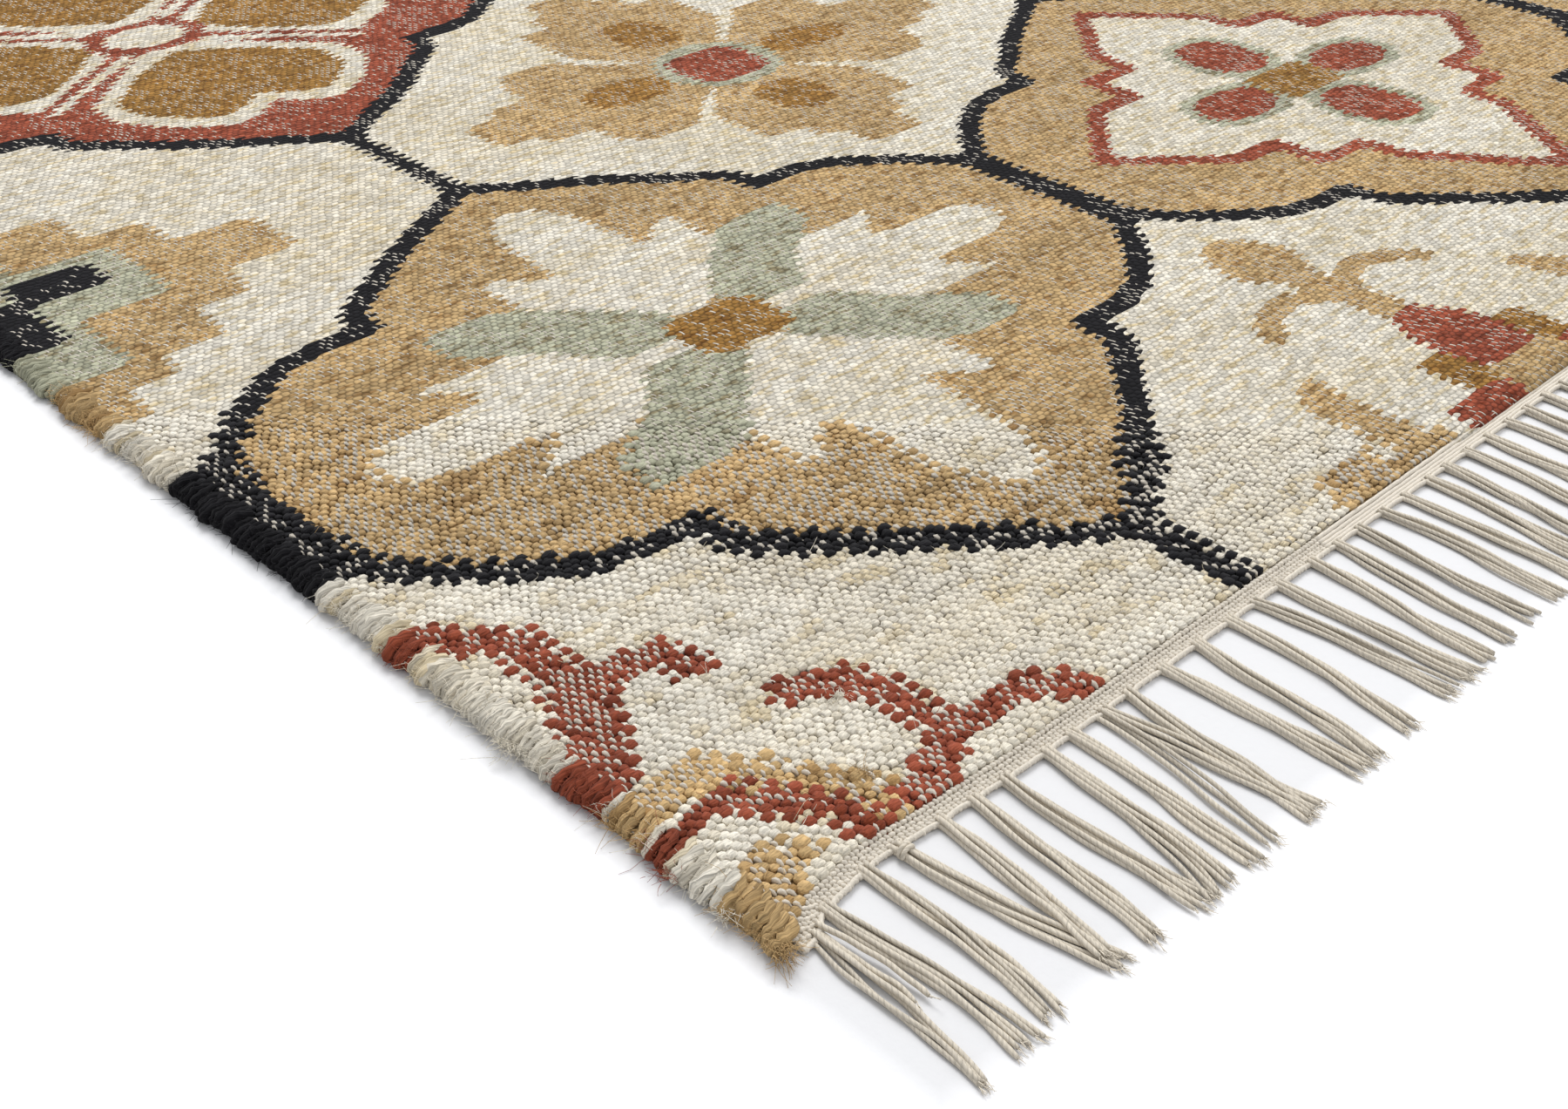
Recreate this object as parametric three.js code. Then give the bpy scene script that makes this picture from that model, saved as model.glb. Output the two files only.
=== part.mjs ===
// A kilim rug lying flat: a woven jute body with its selvedges, a narrow cotton heading past
// each end, and past each heading a fringe of bunched cotton warp ends.
//
// Millimetres, +Z up. X runs along the weft and Y along the warp. The origin is on the floor
// under the middle of the rug, and every piece lies on the floor.

import * as THREE from 'three';

// Woven body
const BODY_WIDTH = 1600;
const BODY_LENGTH = 2400;
const FIELD_THICKNESS = 6.2;
const FIELD_UNEVENNESS = 0.15;
const FIELD_WAVE = { across: 430, along: 610 };
const FIELD_COLUMNS = 7;
const FIELD_ROWS = 28;

// Cotton heading and fringe
const HEADING_WIDTH = 6.5;
const HEADING_THICKNESS = 3.2;
const FRINGE_REACH = 83;
const FRINGE_THICKNESS = 2.4;
const FRINGE_SPINE = 1.8;
const HEADING_INSET = 8;

// Free space between neighbouring pieces
const GAP = 0.3;

// Height of the body, as a share of its field thickness, against the distance from a selvedge:
// the weft turns round the outermost warps there, which rounds the edge and fills it out.
const SELVEDGE_SECTION = [
  { inset: 0, height: 0.6 },
  { inset: 1.5, height: 0.95 },
  { inset: 5, height: 1.02 },
  { inset: 14, height: 1 },
];

// Height of the body, again as a share, against the distance from its end: the last rows slope
// down to the thinner heading.
const END_SECTION = [
  { inset: 0, height: 0.62 },
  { inset: 7, height: 1 },
];

// How far the end of the body stands out past its straight line, against the distance from the
// selvedge: the end draws in a little everywhere, more beside the corner, which splays outwards.
const END_LINE = [
  { inset: 0, out: 3.5 },
  { inset: 6, out: 5.5 },
  { inset: 11, out: 5 },
  { inset: 19, out: 1 },
  { inset: 25, out: -3 },
  { inset: 38, out: -4.5 },
  { inset: 50, out: -7 },
  { inset: 63, out: -7 },
  { inset: 80, out: -5.3 },
  { inset: 100, out: -4.5 },
  { inset: 130, out: -3 },
];

// How far into the rug the end line and the selvedge's wander are felt
const END_FADE = 150;
const SELVEDGE_FADE = 200;

// The selvedge wanders in and out with the tension of the weft: the sum of these waves.
const SELVEDGE_WANDER = [
  { swing: 1.1, length: 530, start: 0.4 },
  { swing: 0.7, length: 290, start: 2.1 },
];

// Tassels beside the corner, by distance from the selvedge: where each leaves the heading, how
// far its tip leans sideways, and how wide its strands spread at the tip.
const CORNER_TASSELS = [
  { root: 15, lean: -5, spread: 7 },
  { root: 27, lean: 3, spread: 12 },
  { root: 49, lean: -4, spread: 8 },
  { root: 65, lean: 1, spread: 10 },
  { root: 85.5, lean: -4, spread: 9 },
  { root: 102.5, lean: -5, spread: 8 },
  { root: 119, lean: -1, spread: 9 },
  { root: 138, lean: -8, spread: 14 },
  { root: 155.5, lean: -9, spread: 8 },
  { root: 173, lean: -10, spread: 10 },
];

// The other tassels are evenly spaced with a small wobble.
const TASSEL_PITCH = 17.7;
const TASSEL_WOBBLE = 1.2;
const TASSEL_LEAN = -7;
const TASSEL_SPREAD = { narrowest: 7, widest: 10 };
const LAST_TASSEL_INSET = 15;

// Half widths of a tassel where it leaves the spine and at its waist, and where the waist is
const TASSEL_ROOT_HALF_WIDTH = 2.4;
const TASSEL_WAIST = { share: 0.4, halfWidth: 3 };

// Reads a table by straight lines between its rows, and keeps its last value past the end.
function readTable(table, column, inset) {
  const after = table.findIndex((row) => row.inset >= inset);
  if (after < 0) return table[table.length - 1][column];
  if (after === 0) return table[0][column];
  const low = table[after - 1];
  const high = table[after];
  const share = (inset - low.inset) / (high.inset - low.inset);
  return low[column] + share * (high[column] - low[column]);
}

// Insets from one edge, then even steps across the middle, then the same insets from the other.
function stations(length, insets, evenSteps) {
  const last = insets[insets.length - 1];
  const middle = [];
  for (let step = 1; step < evenSteps; step += 1) {
    middle.push(last + ((length - 2 * last) * step) / evenSteps);
  }
  const mirrored = insets.map((inset) => length - inset).reverse();
  return [...insets, ...middle, ...mirrored].map((place) => place - length / 2);
}

const COLUMN_INSETS = [...SELVEDGE_SECTION, ...END_LINE]
  .map((row) => row.inset)
  .filter((inset, index, all) => all.indexOf(inset) === index)
  .sort((a, b) => a - b);
const COLUMNS = stations(BODY_WIDTH, COLUMN_INSETS, FIELD_COLUMNS);
const ROWS = stations(BODY_LENGTH, END_SECTION.map((row) => row.inset), FIELD_ROWS);

function selvedgeInset(x) {
  return BODY_WIDTH / 2 - Math.abs(x);
}

// Distance of the body's end from the middle of the rug, at a place across the rug.
function endLine(x) {
  return BODY_LENGTH / 2 + readTable(END_LINE, 'out', selvedgeInset(x));
}

// Outward wander of a selvedge. The left one is the right one turned half round.
function selvedgeWander(y, side) {
  const along = side * y;
  const waves = SELVEDGE_WANDER.map(
    (wave) => wave.swing * Math.sin((2 * Math.PI * along) / wave.length + wave.start),
  );
  return waves.reduce((sum, wave) => sum + wave, 0);
}

// A point of the body seen from above: the columns fan out to follow the selvedge and the rows
// bend to follow the end line.
function bodyPlan(x, y) {
  const side = Math.sign(x);
  const end = Math.sign(y);
  const selvedgeShare = Math.max(0, 1 - selvedgeInset(x) / SELVEDGE_FADE);
  const endShare = Math.max(0, 1 - (BODY_LENGTH / 2 - Math.abs(y)) / END_FADE);
  return {
    x: x + side * selvedgeShare * (1 - endShare) * selvedgeWander(y, side),
    y: y + end * endShare * (endLine(x) - BODY_LENGTH / 2),
  };
}

function bodyHeight(x, y) {
  const selvedge = readTable(SELVEDGE_SECTION, 'height', selvedgeInset(x));
  const end = readTable(END_SECTION, 'height', BODY_LENGTH / 2 - Math.abs(y));
  const across = Math.sin((2 * Math.PI * x) / FIELD_WAVE.across);
  const along = Math.cos((2 * Math.PI * y) / FIELD_WAVE.along);
  return (FIELD_THICKNESS + FIELD_UNEVENNESS * across * along) * selvedge * end;
}

// A closed solid between the floor and an uneven top, over a grid of plan points.
function gridSolid(columns, rows, planAt, heightAt) {
  const wide = columns.length;
  const long = rows.length;
  const layer = wide * long;
  const positions = [];
  for (const top of [false, true]) {
    for (const y of rows) {
      for (const x of columns) {
        const plan = planAt(x, y);
        positions.push(plan.x, plan.y, top ? heightAt(x, y) : 0);
      }
    }
  }
  const faces = [];
  const quad = (a, b, c, d) => faces.push(a, b, c, a, c, d);
  for (let j = 0; j + 1 < long; j += 1) {
    for (let i = 0; i + 1 < wide; i += 1) {
      const a = j * wide + i;
      quad(layer + a, layer + a + 1, layer + a + 1 + wide, layer + a + wide);
      quad(a, a + wide, a + 1 + wide, a + 1);
    }
  }
  const wall = (a, b) => quad(a, b, layer + b, layer + a);
  for (let i = 0; i + 1 < wide; i += 1) {
    const far = (long - 1) * wide;
    wall(i, i + 1);
    wall(far + i + 1, far + i);
  }
  for (let j = 0; j + 1 < long; j += 1) {
    const right = wide - 1;
    wall(right + j * wide, right + (j + 1) * wide);
    wall((j + 1) * wide, j * wide);
  }
  const geometry = new THREE.BufferGeometry();
  geometry.setAttribute('position', new THREE.Float32BufferAttribute(positions, 3));
  geometry.setIndex(faces);
  geometry.computeVertexNormals();
  return geometry;
}

// A flat outline seen from above, raised from the floor.
function flatPiece(outline, thickness) {
  const shape = new THREE.Shape(outline.map(({ x, y }) => new THREE.Vector2(x, y)));
  return new THREE.ExtrudeGeometry(shape, { depth: thickness, bevelEnabled: false, steps: 1 });
}

// A line beside the front end of the body, at a distance out from it, left to right. It starts
// and stops a little inside the selvedges, as the cotton does.
function besideEnd(distance) {
  const within = COLUMNS.filter((x) => selvedgeInset(x) >= HEADING_INSET);
  return within.map((x) => ({ x, y: -(endLine(x) + distance) }));
}

function headingOutline() {
  const inner = besideEnd(GAP);
  const outer = besideEnd(GAP + HEADING_WIDTH);
  return [...outer, ...inner.reverse()];
}

// Every tassel of one end, left to right: those beside the corner, then the even ones.
function tassels() {
  const firsts = CORNER_TASSELS.map((row) => ({ ...row, root: row.root - BODY_WIDTH / 2 }));
  const from = firsts[firsts.length - 1].root;
  const to = BODY_WIDTH / 2 - LAST_TASSEL_INSET;
  const count = Math.round((to - from) / TASSEL_PITCH);
  const { narrowest, widest } = TASSEL_SPREAD;
  const others = [];
  for (let k = 1; k <= count; k += 1) {
    const wobble = k < count ? TASSEL_WOBBLE * Math.sin(2.4 * k) : 0;
    others.push({
      root: from + ((to - from) * k) / count + wobble,
      lean: TASSEL_LEAN + Math.sin(1.7 * k),
      spread: narrowest + (widest - narrowest) * (0.5 + 0.5 * Math.sin(3.1 * k)),
    });
  }
  return [...firsts, ...others];
}

// One comb: a spine beside the heading, and a flat tooth for each tassel.
function fringeOutline() {
  const start = GAP + HEADING_WIDTH + GAP;
  const spineEdge = (x) => -(endLine(x) + start + FRINGE_SPINE);
  const tip = -(endLine(0) + start + FRINGE_REACH);
  const teeth = tassels().flatMap(({ root, lean, spread }) => {
    const left = root - TASSEL_ROOT_HALF_WIDTH;
    const right = root + TASSEL_ROOT_HALF_WIDTH;
    const waist = root + lean * TASSEL_WAIST.share;
    const waistY = spineEdge(root) + TASSEL_WAIST.share * (tip - spineEdge(root));
    return [
      { x: left, y: spineEdge(left) },
      { x: waist - TASSEL_WAIST.halfWidth, y: waistY },
      { x: root + lean - spread / 2, y: tip },
      { x: root + lean + spread / 2, y: tip },
      { x: waist + TASSEL_WAIST.halfWidth, y: waistY },
      { x: right, y: spineEdge(right) },
    ];
  });
  const inner = besideEnd(start);
  const first = { x: inner[0].x, y: spineEdge(inner[0].x) };
  const last = { x: inner[inner.length - 1].x, y: spineEdge(inner[inner.length - 1].x) };
  return [first, ...teeth, last, ...inner.reverse()];
}

function piece(name, geometry, look) {
  const mesh = new THREE.Mesh(geometry, new THREE.MeshStandardMaterial(look));
  mesh.name = name;
  return mesh;
}

const JUTE = { color: 0xc9b893, roughness: 0.95, metalness: 0 };
const COTTON = { color: 0xcfc7b8, roughness: 0.9, metalness: 0 };

const rug = new THREE.Group();
rug.add(piece('kilim_cloth', gridSolid(COLUMNS, ROWS, bodyPlan, bodyHeight), JUTE));

// The two ends are alike, half a turn apart.
for (const [end, turn] of [['front', 0], ['back', Math.PI]]) {
  const heading = piece(`heading_${end}`, flatPiece(headingOutline(), HEADING_THICKNESS), COTTON);
  const fringe = piece(`fringe_${end}`, flatPiece(fringeOutline(), FRINGE_THICKNESS), COTTON);
  heading.rotation.z = turn;
  fringe.rotation.z = turn;
  rug.add(heading, fringe);
}

export default rug;
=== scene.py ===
# %% [markdown]
# A flat-woven kilim rug on a studio floor. Thick jute weft in six colours hides most of a thin
# cotton warp, which shows only as short pale floats. The script loads the rug's plain solids as
# a fixed frame, then makes the cloth, its yarns, headings and fringes around them.

# %% Load the frame
import functools
import math

import bpy
import numpy as np
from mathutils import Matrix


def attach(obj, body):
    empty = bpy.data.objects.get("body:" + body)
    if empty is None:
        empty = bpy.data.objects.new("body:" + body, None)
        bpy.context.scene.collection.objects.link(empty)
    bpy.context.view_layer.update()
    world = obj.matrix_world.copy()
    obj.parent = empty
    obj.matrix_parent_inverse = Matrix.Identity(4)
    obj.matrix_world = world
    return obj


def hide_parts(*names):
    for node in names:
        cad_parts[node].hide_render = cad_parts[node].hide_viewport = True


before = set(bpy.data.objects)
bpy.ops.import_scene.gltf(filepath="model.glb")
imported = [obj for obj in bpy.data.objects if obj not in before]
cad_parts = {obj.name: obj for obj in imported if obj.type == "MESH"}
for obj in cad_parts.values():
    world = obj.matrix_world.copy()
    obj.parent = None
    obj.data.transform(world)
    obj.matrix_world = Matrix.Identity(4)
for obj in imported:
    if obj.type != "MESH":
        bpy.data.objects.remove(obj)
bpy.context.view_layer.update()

MM = 0.001

# %% [markdown]
# The camera stands low in front of one corner and looks along the rug's diagonal. It comes
# first, because the finest yarns are only worth modelling where it sees them one by one.

# %% Camera
CORNER = (-0.8, -1.2)
CAMERA_BACK = (0.2927, 0.2988)
CAMERA_HEIGHT = 0.439
LENS, SENSOR, NEAREST = 42.64, 36.0, 0.01
YAW, PITCH, ROLL = 44.94, 34.31, -0.88


def make_camera():
    """A camera given by where it looks: yaw from +X, pitch down, roll about its own line."""
    yaw, pitch, roll = (math.radians(a) for a in (YAW, PITCH, ROLL))
    ahead = np.array([math.cos(yaw) * math.cos(pitch), math.sin(yaw) * math.cos(pitch), -math.sin(pitch)])
    level = np.array([math.sin(yaw), -math.cos(yaw), 0.0])
    down = np.cross(ahead, level)
    right = math.cos(roll) * level + math.sin(roll) * down
    up = math.sin(roll) * level - math.cos(roll) * down
    data = bpy.data.cameras.new("studio_camera")
    data.lens, data.sensor_width, data.clip_start = LENS, SENSOR, NEAREST
    camera = bpy.data.objects.new("studio_camera", data)
    bpy.context.scene.collection.objects.link(camera)
    place = [CORNER[0] - CAMERA_BACK[0], CORNER[1] - CAMERA_BACK[1], CAMERA_HEIGHT]
    rows = [[right[k], up[k], -ahead[k], place[k]] for k in range(3)] + [[0, 0, 0, 1]]
    camera.matrix_world = [[rows[r][c] for r in range(4)] for c in range(4)]
    bpy.context.scene.camera = camera
    return camera


camera = make_camera()
print("camera at", [round(v, 3) for v in camera.matrix_world.translation])

# %% [markdown]
# A weaver follows a chart: one square for each crossing of a warp and a row of weft. This one is
# drawn by formulas in millimetres from the front left corner. Every motif is symmetrical, so its
# outline is given for one quarter and the places are folded onto it.

# %% Chart: sizes and outline tests
BODY_WIDTH, BODY_LENGTH = 1600.0, 2400.0
WARP_PITCH, ROW_PITCH = 2.25, 3.4
WARPS, ROWS = int(BODY_WIDTH / WARP_PITCH), int(BODY_LENGTH / ROW_PITCH)
CREAM, TAN, OCHRE, SAGE, RED, BLACK = range(6)
OUT = -99  # a place well past the edge of the rug


def inside(outline, p, q):
    """Which places lie inside a closed outline."""
    hit = np.zeros(np.broadcast(p, q).shape, bool)
    for (p0, q0), (p1, q1) in zip(outline, outline[1:] + outline[:1]):
        if q0 != q1:
            crosses = (q0 > q) != (q1 > q)
            hit ^= crosses & (p < p0 + (q - q0) * (p1 - p0) / (q1 - q0))
    return hit


def distance(line, p, q):
    """How far each place is from an open line of points."""
    best = np.full(np.broadcast(p, q).shape, 1e9)
    for (p0, q0), (p1, q1) in zip(line, line[1:]):
        run, rise = p1 - p0, q1 - q0
        share = np.clip(((p - p0) * run + (q - q0) * rise) / (run**2 + rise**2), 0, 1)
        best = np.minimum(best, np.hypot(p - p0 - share * run, q - q0 - share * rise))
    return best


def box(p, q, p0, p1, q0, q1):
    """Which places lie in a rectangle."""
    return (p >= p0) & (p <= p1) & (q >= q0) & (q <= q1)


def rounded(p, q, p0, q0, half_p, half_q, power=2.6):
    """Which places lie in an oval; a higher power makes it squarer."""
    return np.abs((p - p0) / half_p) ** power + np.abs((q - q0) / half_q) ** power < 1


print("warps", WARPS, "rows of weft", ROWS)

# %% [markdown]
# The lattice of black-edged medallions holds three motifs in turn: a four-petalled flower, a
# stepped star, and four hearts on a red ground. p runs across and q along, from the middle.

# %% Chart: the medallions
LOBES = [(255, 0), (254, 38), (247, 57), (230, 76), (211, 93), (190, 109), (168, 115), (128, 116),
         (127, 139), (118, 146), (98, 161), (78, 179), (50, 198), (20, 217), (0, 231)]
PETAL_TALL = [(0, 22), (9, 24), (66, 80), (67, 119), (60, 125), (52, 119), (31, 99), (28, 130), (26, 163),
              (13, 187), (0, 193)]
PETAL_WIDE = [(22, 0), (25, 7), (62, 13), (98, 48), (145, 49), (156, 53), (157, 48), (147, 40), (133, 25),
              (146, 21), (200, 19), (210, 8), (212, 0)]
LEAF = [(14, 30), (42, 60), (72, 88), (90, 94), (125, 94), (125, 66), (108, 54), (88, 40), (64, 7), (31, 7),
        (25, 15)]
STAR = [(205, 0), (143, 55), (104, 55), (107, 90), (65, 91), (63, 121), (0, 188)]
DROPS = [(0, 59, 27, 31), (67, 0, 33, 20)]
DROP_RIM, HEART_RIM = 9, 17


def flower_medallion(p, q, chart):
    chart[...] = TAN
    chart[inside(PETAL_TALL, p, q) | inside(PETAL_WIDE, p, q)] = CREAM
    chart[inside(LEAF, p, q)] = SAGE
    chart[box(p, q, 0, 30, 0, 20)] = OCHRE


def star_medallion(p, q, chart):
    chart[...] = TAN
    chart[inside([(0, 0)] + STAR, p, q)] = CREAM
    chart[distance(STAR, p, q) < 6] = RED
    for rim, dye in ((DROP_RIM, SAGE), (0, RED)):
        for p0, q0, half_p, half_q in DROPS:
            chart[rounded(p, q, p0, q0, half_p + rim, half_q + rim)] = dye
    chart[box(p, q, 0, 31, 0, 21)] = OCHRE


def heart(width, reach, rim):
    """Half of a heart whose point is towards the middle, as places across and along it."""
    return [(-1, 38 - 1.4 * rim), (width * 0.55, 66 - rim * 0.9), (width + rim, 100), (width + rim, 128),
            (width * 0.72 + rim, 152 + rim * 0.4), (width * 0.5, reach + rim), (width * 0.2, reach + rim - 8),
            (-1, reach - 24 + rim)]


def hearts_medallion(p, q, chart):
    chart[...] = RED
    for rim, dye in ((HEART_RIM, CREAM), (0, OCHRE)):
        chart[inside(heart(76, 163, rim), p, q) | inside(heart(60, 168, rim), q, p)] = dye
    chart[distance([(34, 25), (116, 87)], p, q) < 10] = CREAM
    chart[distance([(24, 15), (150, 113)], p, q) < 3.6] = RED
    chart[np.hypot(p / 42, q / 31) < 1] = RED
    chart[np.hypot(p / 30, q / 21) < 1] = CREAM


# %% [markdown]
# On the cream ground between the medallions lie a stepped flower, half diamonds on the
# selvedges, scrolls round a rosette in the corners, and buds that grow from the ends.

# %% Chart: the motifs between
def lattice_flower(p, q, chart):
    chart[box(p, q, 0, 139, 0, 64) | box(p, q, 66, 128, 0, 74) | box(p, q, 0, 66, 0, 126)
          | box(p, q, 0, 172, 0, 34) | box(p, q, 0, 200, 0, 20)
          | box(p, q, 0, 38, 0, 148) | box(p, q, 0, 22, 0, 175)] = TAN
    chart[np.abs(p / 1.06 - q) < 7 - 0.11 * np.abs(p - 66)] = CREAM
    chart[rounded(p, q, 80, 0, 34, 19) | rounded(p, q, 0, 77, 24, 28)] = OCHRE
    chart[np.hypot(p / 45, q / 40) < 1] = SAGE
    chart[rounded(p, q, 0, 0, 31, 27, 4)] = RED


def step_diamond(a, v, chart):
    """a from the selvedge, v both ways along it."""
    w = np.abs(v)
    for reach, half in ((175, 25), (128, 60), (94, 96), (56, 118), (28, 146)):
        chart[box(a, w, OUT, reach, 0, half)] = TAN
    chart[box(a, v, OUT, 100, -28, 44) | box(a, w, OUT, 45, 0, 92)] = SAGE
    chart[box(a, v, 34, 80, 2, 32) | box(a, v, OUT, 34, -46, 13)] = BLACK


def rosette(a, b, chart):
    """a from the selvedge, b from the end."""
    chart[distance([(OUT, 72), (38, 72), (54, 52), (64, 38), (75, 22), (77, OUT)], a, b) < 9] = TAN
    chart[distance([(OUT, 56), (36, 56), (49, 38), (62, 20), (65, OUT)], a, b) < 6.6] = RED
    middle = [(OUT, 22), (14, 28), (31, 30), (34, 20), (43, 17), (41, 11), (27, 5), (24, OUT), (OUT, OUT)]
    chart[inside(middle, a, b)] = TAN
    vines = [
        ([(86, 8), (104, 14), (121, 25), (121, 58), (113, 75), (95, 83)], 8),
        ([(119, 23), (163, 23), (178, 7)], 7),
        ([(0, 205), (14, 203), (38, 180), (38, 140), (74, 136), (79, 120)], 8),
        ([(38, 140), (28, 118), (14, 98), (0, 96)], 13),
    ]
    for line, half in vines:
        chart[distance(line, a, b) < half] = RED


def palmette(p, b, chart):
    """p from its stem, b from the end."""
    bud = [(0, 204), (10, 203), (20, 192), (28, 173), (27, 163), (17, 153), (7, 148), (0, 148)]
    arms = [(8, 123), (28, 135), (48, 134), (62, 127), (72, 115)]
    chart[inside(bud, p, b) | (distance(arms, p, b) < 7) | box(p, b, 0, 12.5, 80, 150)] = TAN
    chart[inside([(0, 88), (11, 87), (24, 68), (27, 45), (20, 24), (0, 24)], p, b)] = RED
    chart[box(p, b, 22, 50, 8, 51) & ~box(p, b, 0, 27, 24, 60)] = OCHRE
    chart[box(p, b, 0, 28, OUT, 24)] = TAN
    chart[box(p, b, 30, 80, OUT, 18)] = RED
    chart[box(p, b, 94, 185, 3, 15) | box(p, b, 101, 124, 3, 58) | box(p, b, 135, 176, 12, 26)
          | inside([(95, 83), (110, 79), (127, 60), (124, 50), (101, 50)], p, b)] = TAN


# %% [markdown]
# The whole chart is the lattice of three by four medallions with the other motifs in its gaps.
# A hand weaver's repeat is never quite even, so the lattice drifts a little round one place, and
# the medallions next to an end are drawn out towards it.

# %% Chart: the whole rug
REPEAT = (518.3, 588.5)
MARGIN = (22.5, 23.0)
DRIFT_X, DRIFT_Y = (5, 538, 150), (13, 597, 160)
BAND, STEM_HALF, WALL = 14.0, 7.5, (27.0, 58.0)
LONGER_END = ([85, 110, 150, 190], [18, 10, 7, 0])
INNER_REACH, SIDE_ZONE = 248.0, 60.0
DIAMOND_SHIFT = 30
MEDALLIONS = [
    [flower_medallion, star_medallion, flower_medallion],
    [hearts_medallion, flower_medallion, hearts_medallion],
    [star_medallion, hearts_medallion, star_medallion],
    [flower_medallion, star_medallion, flower_medallion],
]
ACROSS, ALONG = len(MEDALLIONS[0]), len(MEDALLIONS)


def drift(place, push, middle, reach):
    """A push that is strongest at one place and dies away round it."""
    return push * np.exp(-(((place - middle) / reach) ** 2))


def fill(chart, where, motif, across, along):
    """Draws one motif in some places of the chart."""
    part = chart[where]
    motif(across[where], along[where], part)
    chart[where] = part


def rug_chart(x, y):
    """The dye of the weft at each place, in mm from the front left corner."""
    chart = np.full(x.shape, CREAM)
    x = x + drift(x, *DRIFT_X) * np.clip(y / 100 - 1.5, -1, 1)
    y = y + drift(y, *DRIFT_Y)
    u, v = (x - MARGIN[0]) / REPEAT[0], (y - MARGIN[1]) / REPEAT[1]
    edge_x, edge_y = np.minimum(x, BODY_WIDTH - x), np.minimum(y, BODY_LENGTH - y)
    middle_y = np.abs(y - BODY_LENGTH / 2)
    gap_u, gap_v = np.round(u), np.round(v)
    p, q = np.abs(u - gap_u) * REPEAT[0], np.abs(v - gap_v) * REPEAT[1]
    side, end = (gap_u == 0) | (gap_u == ACROSS), (gap_v == 0) | (gap_v == ALONG)
    odd, middle = gap_v % 2 == 1, gap_v == ALONG / 2
    fill(chart, ~side & odd, lattice_flower, p, q)
    fill(chart, side & odd, step_diamond, edge_x, (v - gap_v) * REPEAT[1] + DIAMOND_SHIFT)
    for where, along in ((middle, middle_y), (end, edge_y)):
        fill(chart, side & where, rosette, edge_x, along)
        fill(chart, ~side & where, palmette, p, along)
    column, row = np.clip(np.floor(u), 0, ACROSS - 1), np.clip(np.floor(v), 0, ALONG - 1)
    p, q = np.abs(u - column - 0.5) * REPEAT[0], np.abs(v - row - 0.5) * REPEAT[1]
    q = q - np.interp(edge_y, *LONGER_END)
    ground = inside([(0, 0)] + LOBES, p, q) & ((p < INNER_REACH) | (edge_x < SIDE_ZONE))
    chart[~ground & (distance(LOBES, p, q) < BAND)] = BLACK
    chart[(p < STEM_HALF) & (q > LOBES[-1][1])] = BLACK
    chart[(edge_x < WALL[0]) & (q < WALL[1])] = BLACK
    for k, motifs in enumerate(MEDALLIONS):
        for i, motif in enumerate(motifs):
            fill(chart, ground & (column == i) & (row == k) & box(u, v, 0, ACROSS, 0, ALONG), motif, p, q)
    return chart


# %% [markdown]
# Where two colours meet along the warp, their wefts turn back round warps that alternate from
# row to row. The joins look like fine teeth, so every second row of the chart is shifted.

# %% Chart: work it out, with teeth at the joins
TOOTH = 3.0
warp_x = (np.arange(WARPS) + 0.5) * WARP_PITCH
row_y = (np.arange(ROWS) + 0.5) * ROW_PITCH
grid_x, grid_y = np.meshgrid(warp_x, row_y)
row_is_even = (np.arange(ROWS) % 2 == 0)[:, None]
plain_chart = rug_chart(grid_x, grid_y)
weave_chart = rug_chart(grid_x + np.where(row_is_even, TOOTH, -TOOTH), grid_y)
print("chart", weave_chart.shape, "share of each dye", np.bincount(weave_chart.ravel()) / weave_chart.size)

# %% [markdown]
# Nothing handmade is quite even. Most of the unevenness comes from one helper: a grid of random
# numbers, smoothed between its points. Its seed makes each run give the same rug.

# %% Smooth noise
def cloud(x, y, patch_x, patch_y, seed):
    """Smooth seeded noise from -1 to 1, in patches of that many mm."""
    grid = np.random.default_rng(seed).uniform(
        -1, 1, (int(BODY_LENGTH / patch_y) + 8, int(BODY_WIDTH / patch_x) + 8))
    gx = np.clip(np.asarray(x) / patch_x + 3, 0, grid.shape[1] - 2)
    gy = np.clip(np.asarray(y) / patch_y + 3, 0, grid.shape[0] - 2)
    i, j = gx.astype(int), gy.astype(int)
    s, t = gx - i, gy - j
    s, t = s * s * (3 - 2 * s), t * t * (3 - 2 * t)
    low = grid[j, i] * (1 - s) + grid[j, i + 1] * s
    high = grid[j + 1, i] * (1 - s) + grid[j + 1, i + 1] * s
    return low * (1 - t) + high * t


# %% [markdown]
# The solids of the frame already hold the outline of the body: the splayed corners, the drawn-in
# end and the wandering selvedges. The outline is read from them, and chart places are laid into
# it. The heights repeat the body's own section.

# %% Plan and heights of the body
END_FADE, SELVEDGE_FADE = 150.0, 200.0
EDGE_STRIP = 20.0
FIELD, UNEVEN = 6.2, 0.25
SELVEDGE_HEIGHT = ([0, 1.5, 5, 14], [0.6, 0.95, 1.05, 1.0])
END_HEIGHT = ([0, 7], [0.62, 1.0])


def outer_line(solid, along, across):
    """The outermost place on one side of a solid, at each whole mm along it."""
    line = {}
    for place in solid:
        mm = round(place[along])
        line[mm] = min(line.get(mm, place[across]), place[across])
    return {mm: line[mm] for mm in sorted(line) if line[mm] < EDGE_STRIP}


body = np.array([v.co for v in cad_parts["kilim_cloth"].data.vertices]) / MM
body += (BODY_WIDTH / 2, BODY_LENGTH / 2, 0)
front, left_side = outer_line(body, 0, 1), outer_line(body, 1, 0)
end_x, end_out = np.array(list(front)), -np.array(list(front.values()))
side_y = np.array([mm for mm in left_side if END_FADE < mm < BODY_LENGTH - END_FADE])
side_in = np.array([left_side[mm] for mm in side_y])


def end_line(x):
    """How far the front end stands out past its straight line; the back end is the same turned."""
    return np.interp(x, end_x, end_out)


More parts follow.
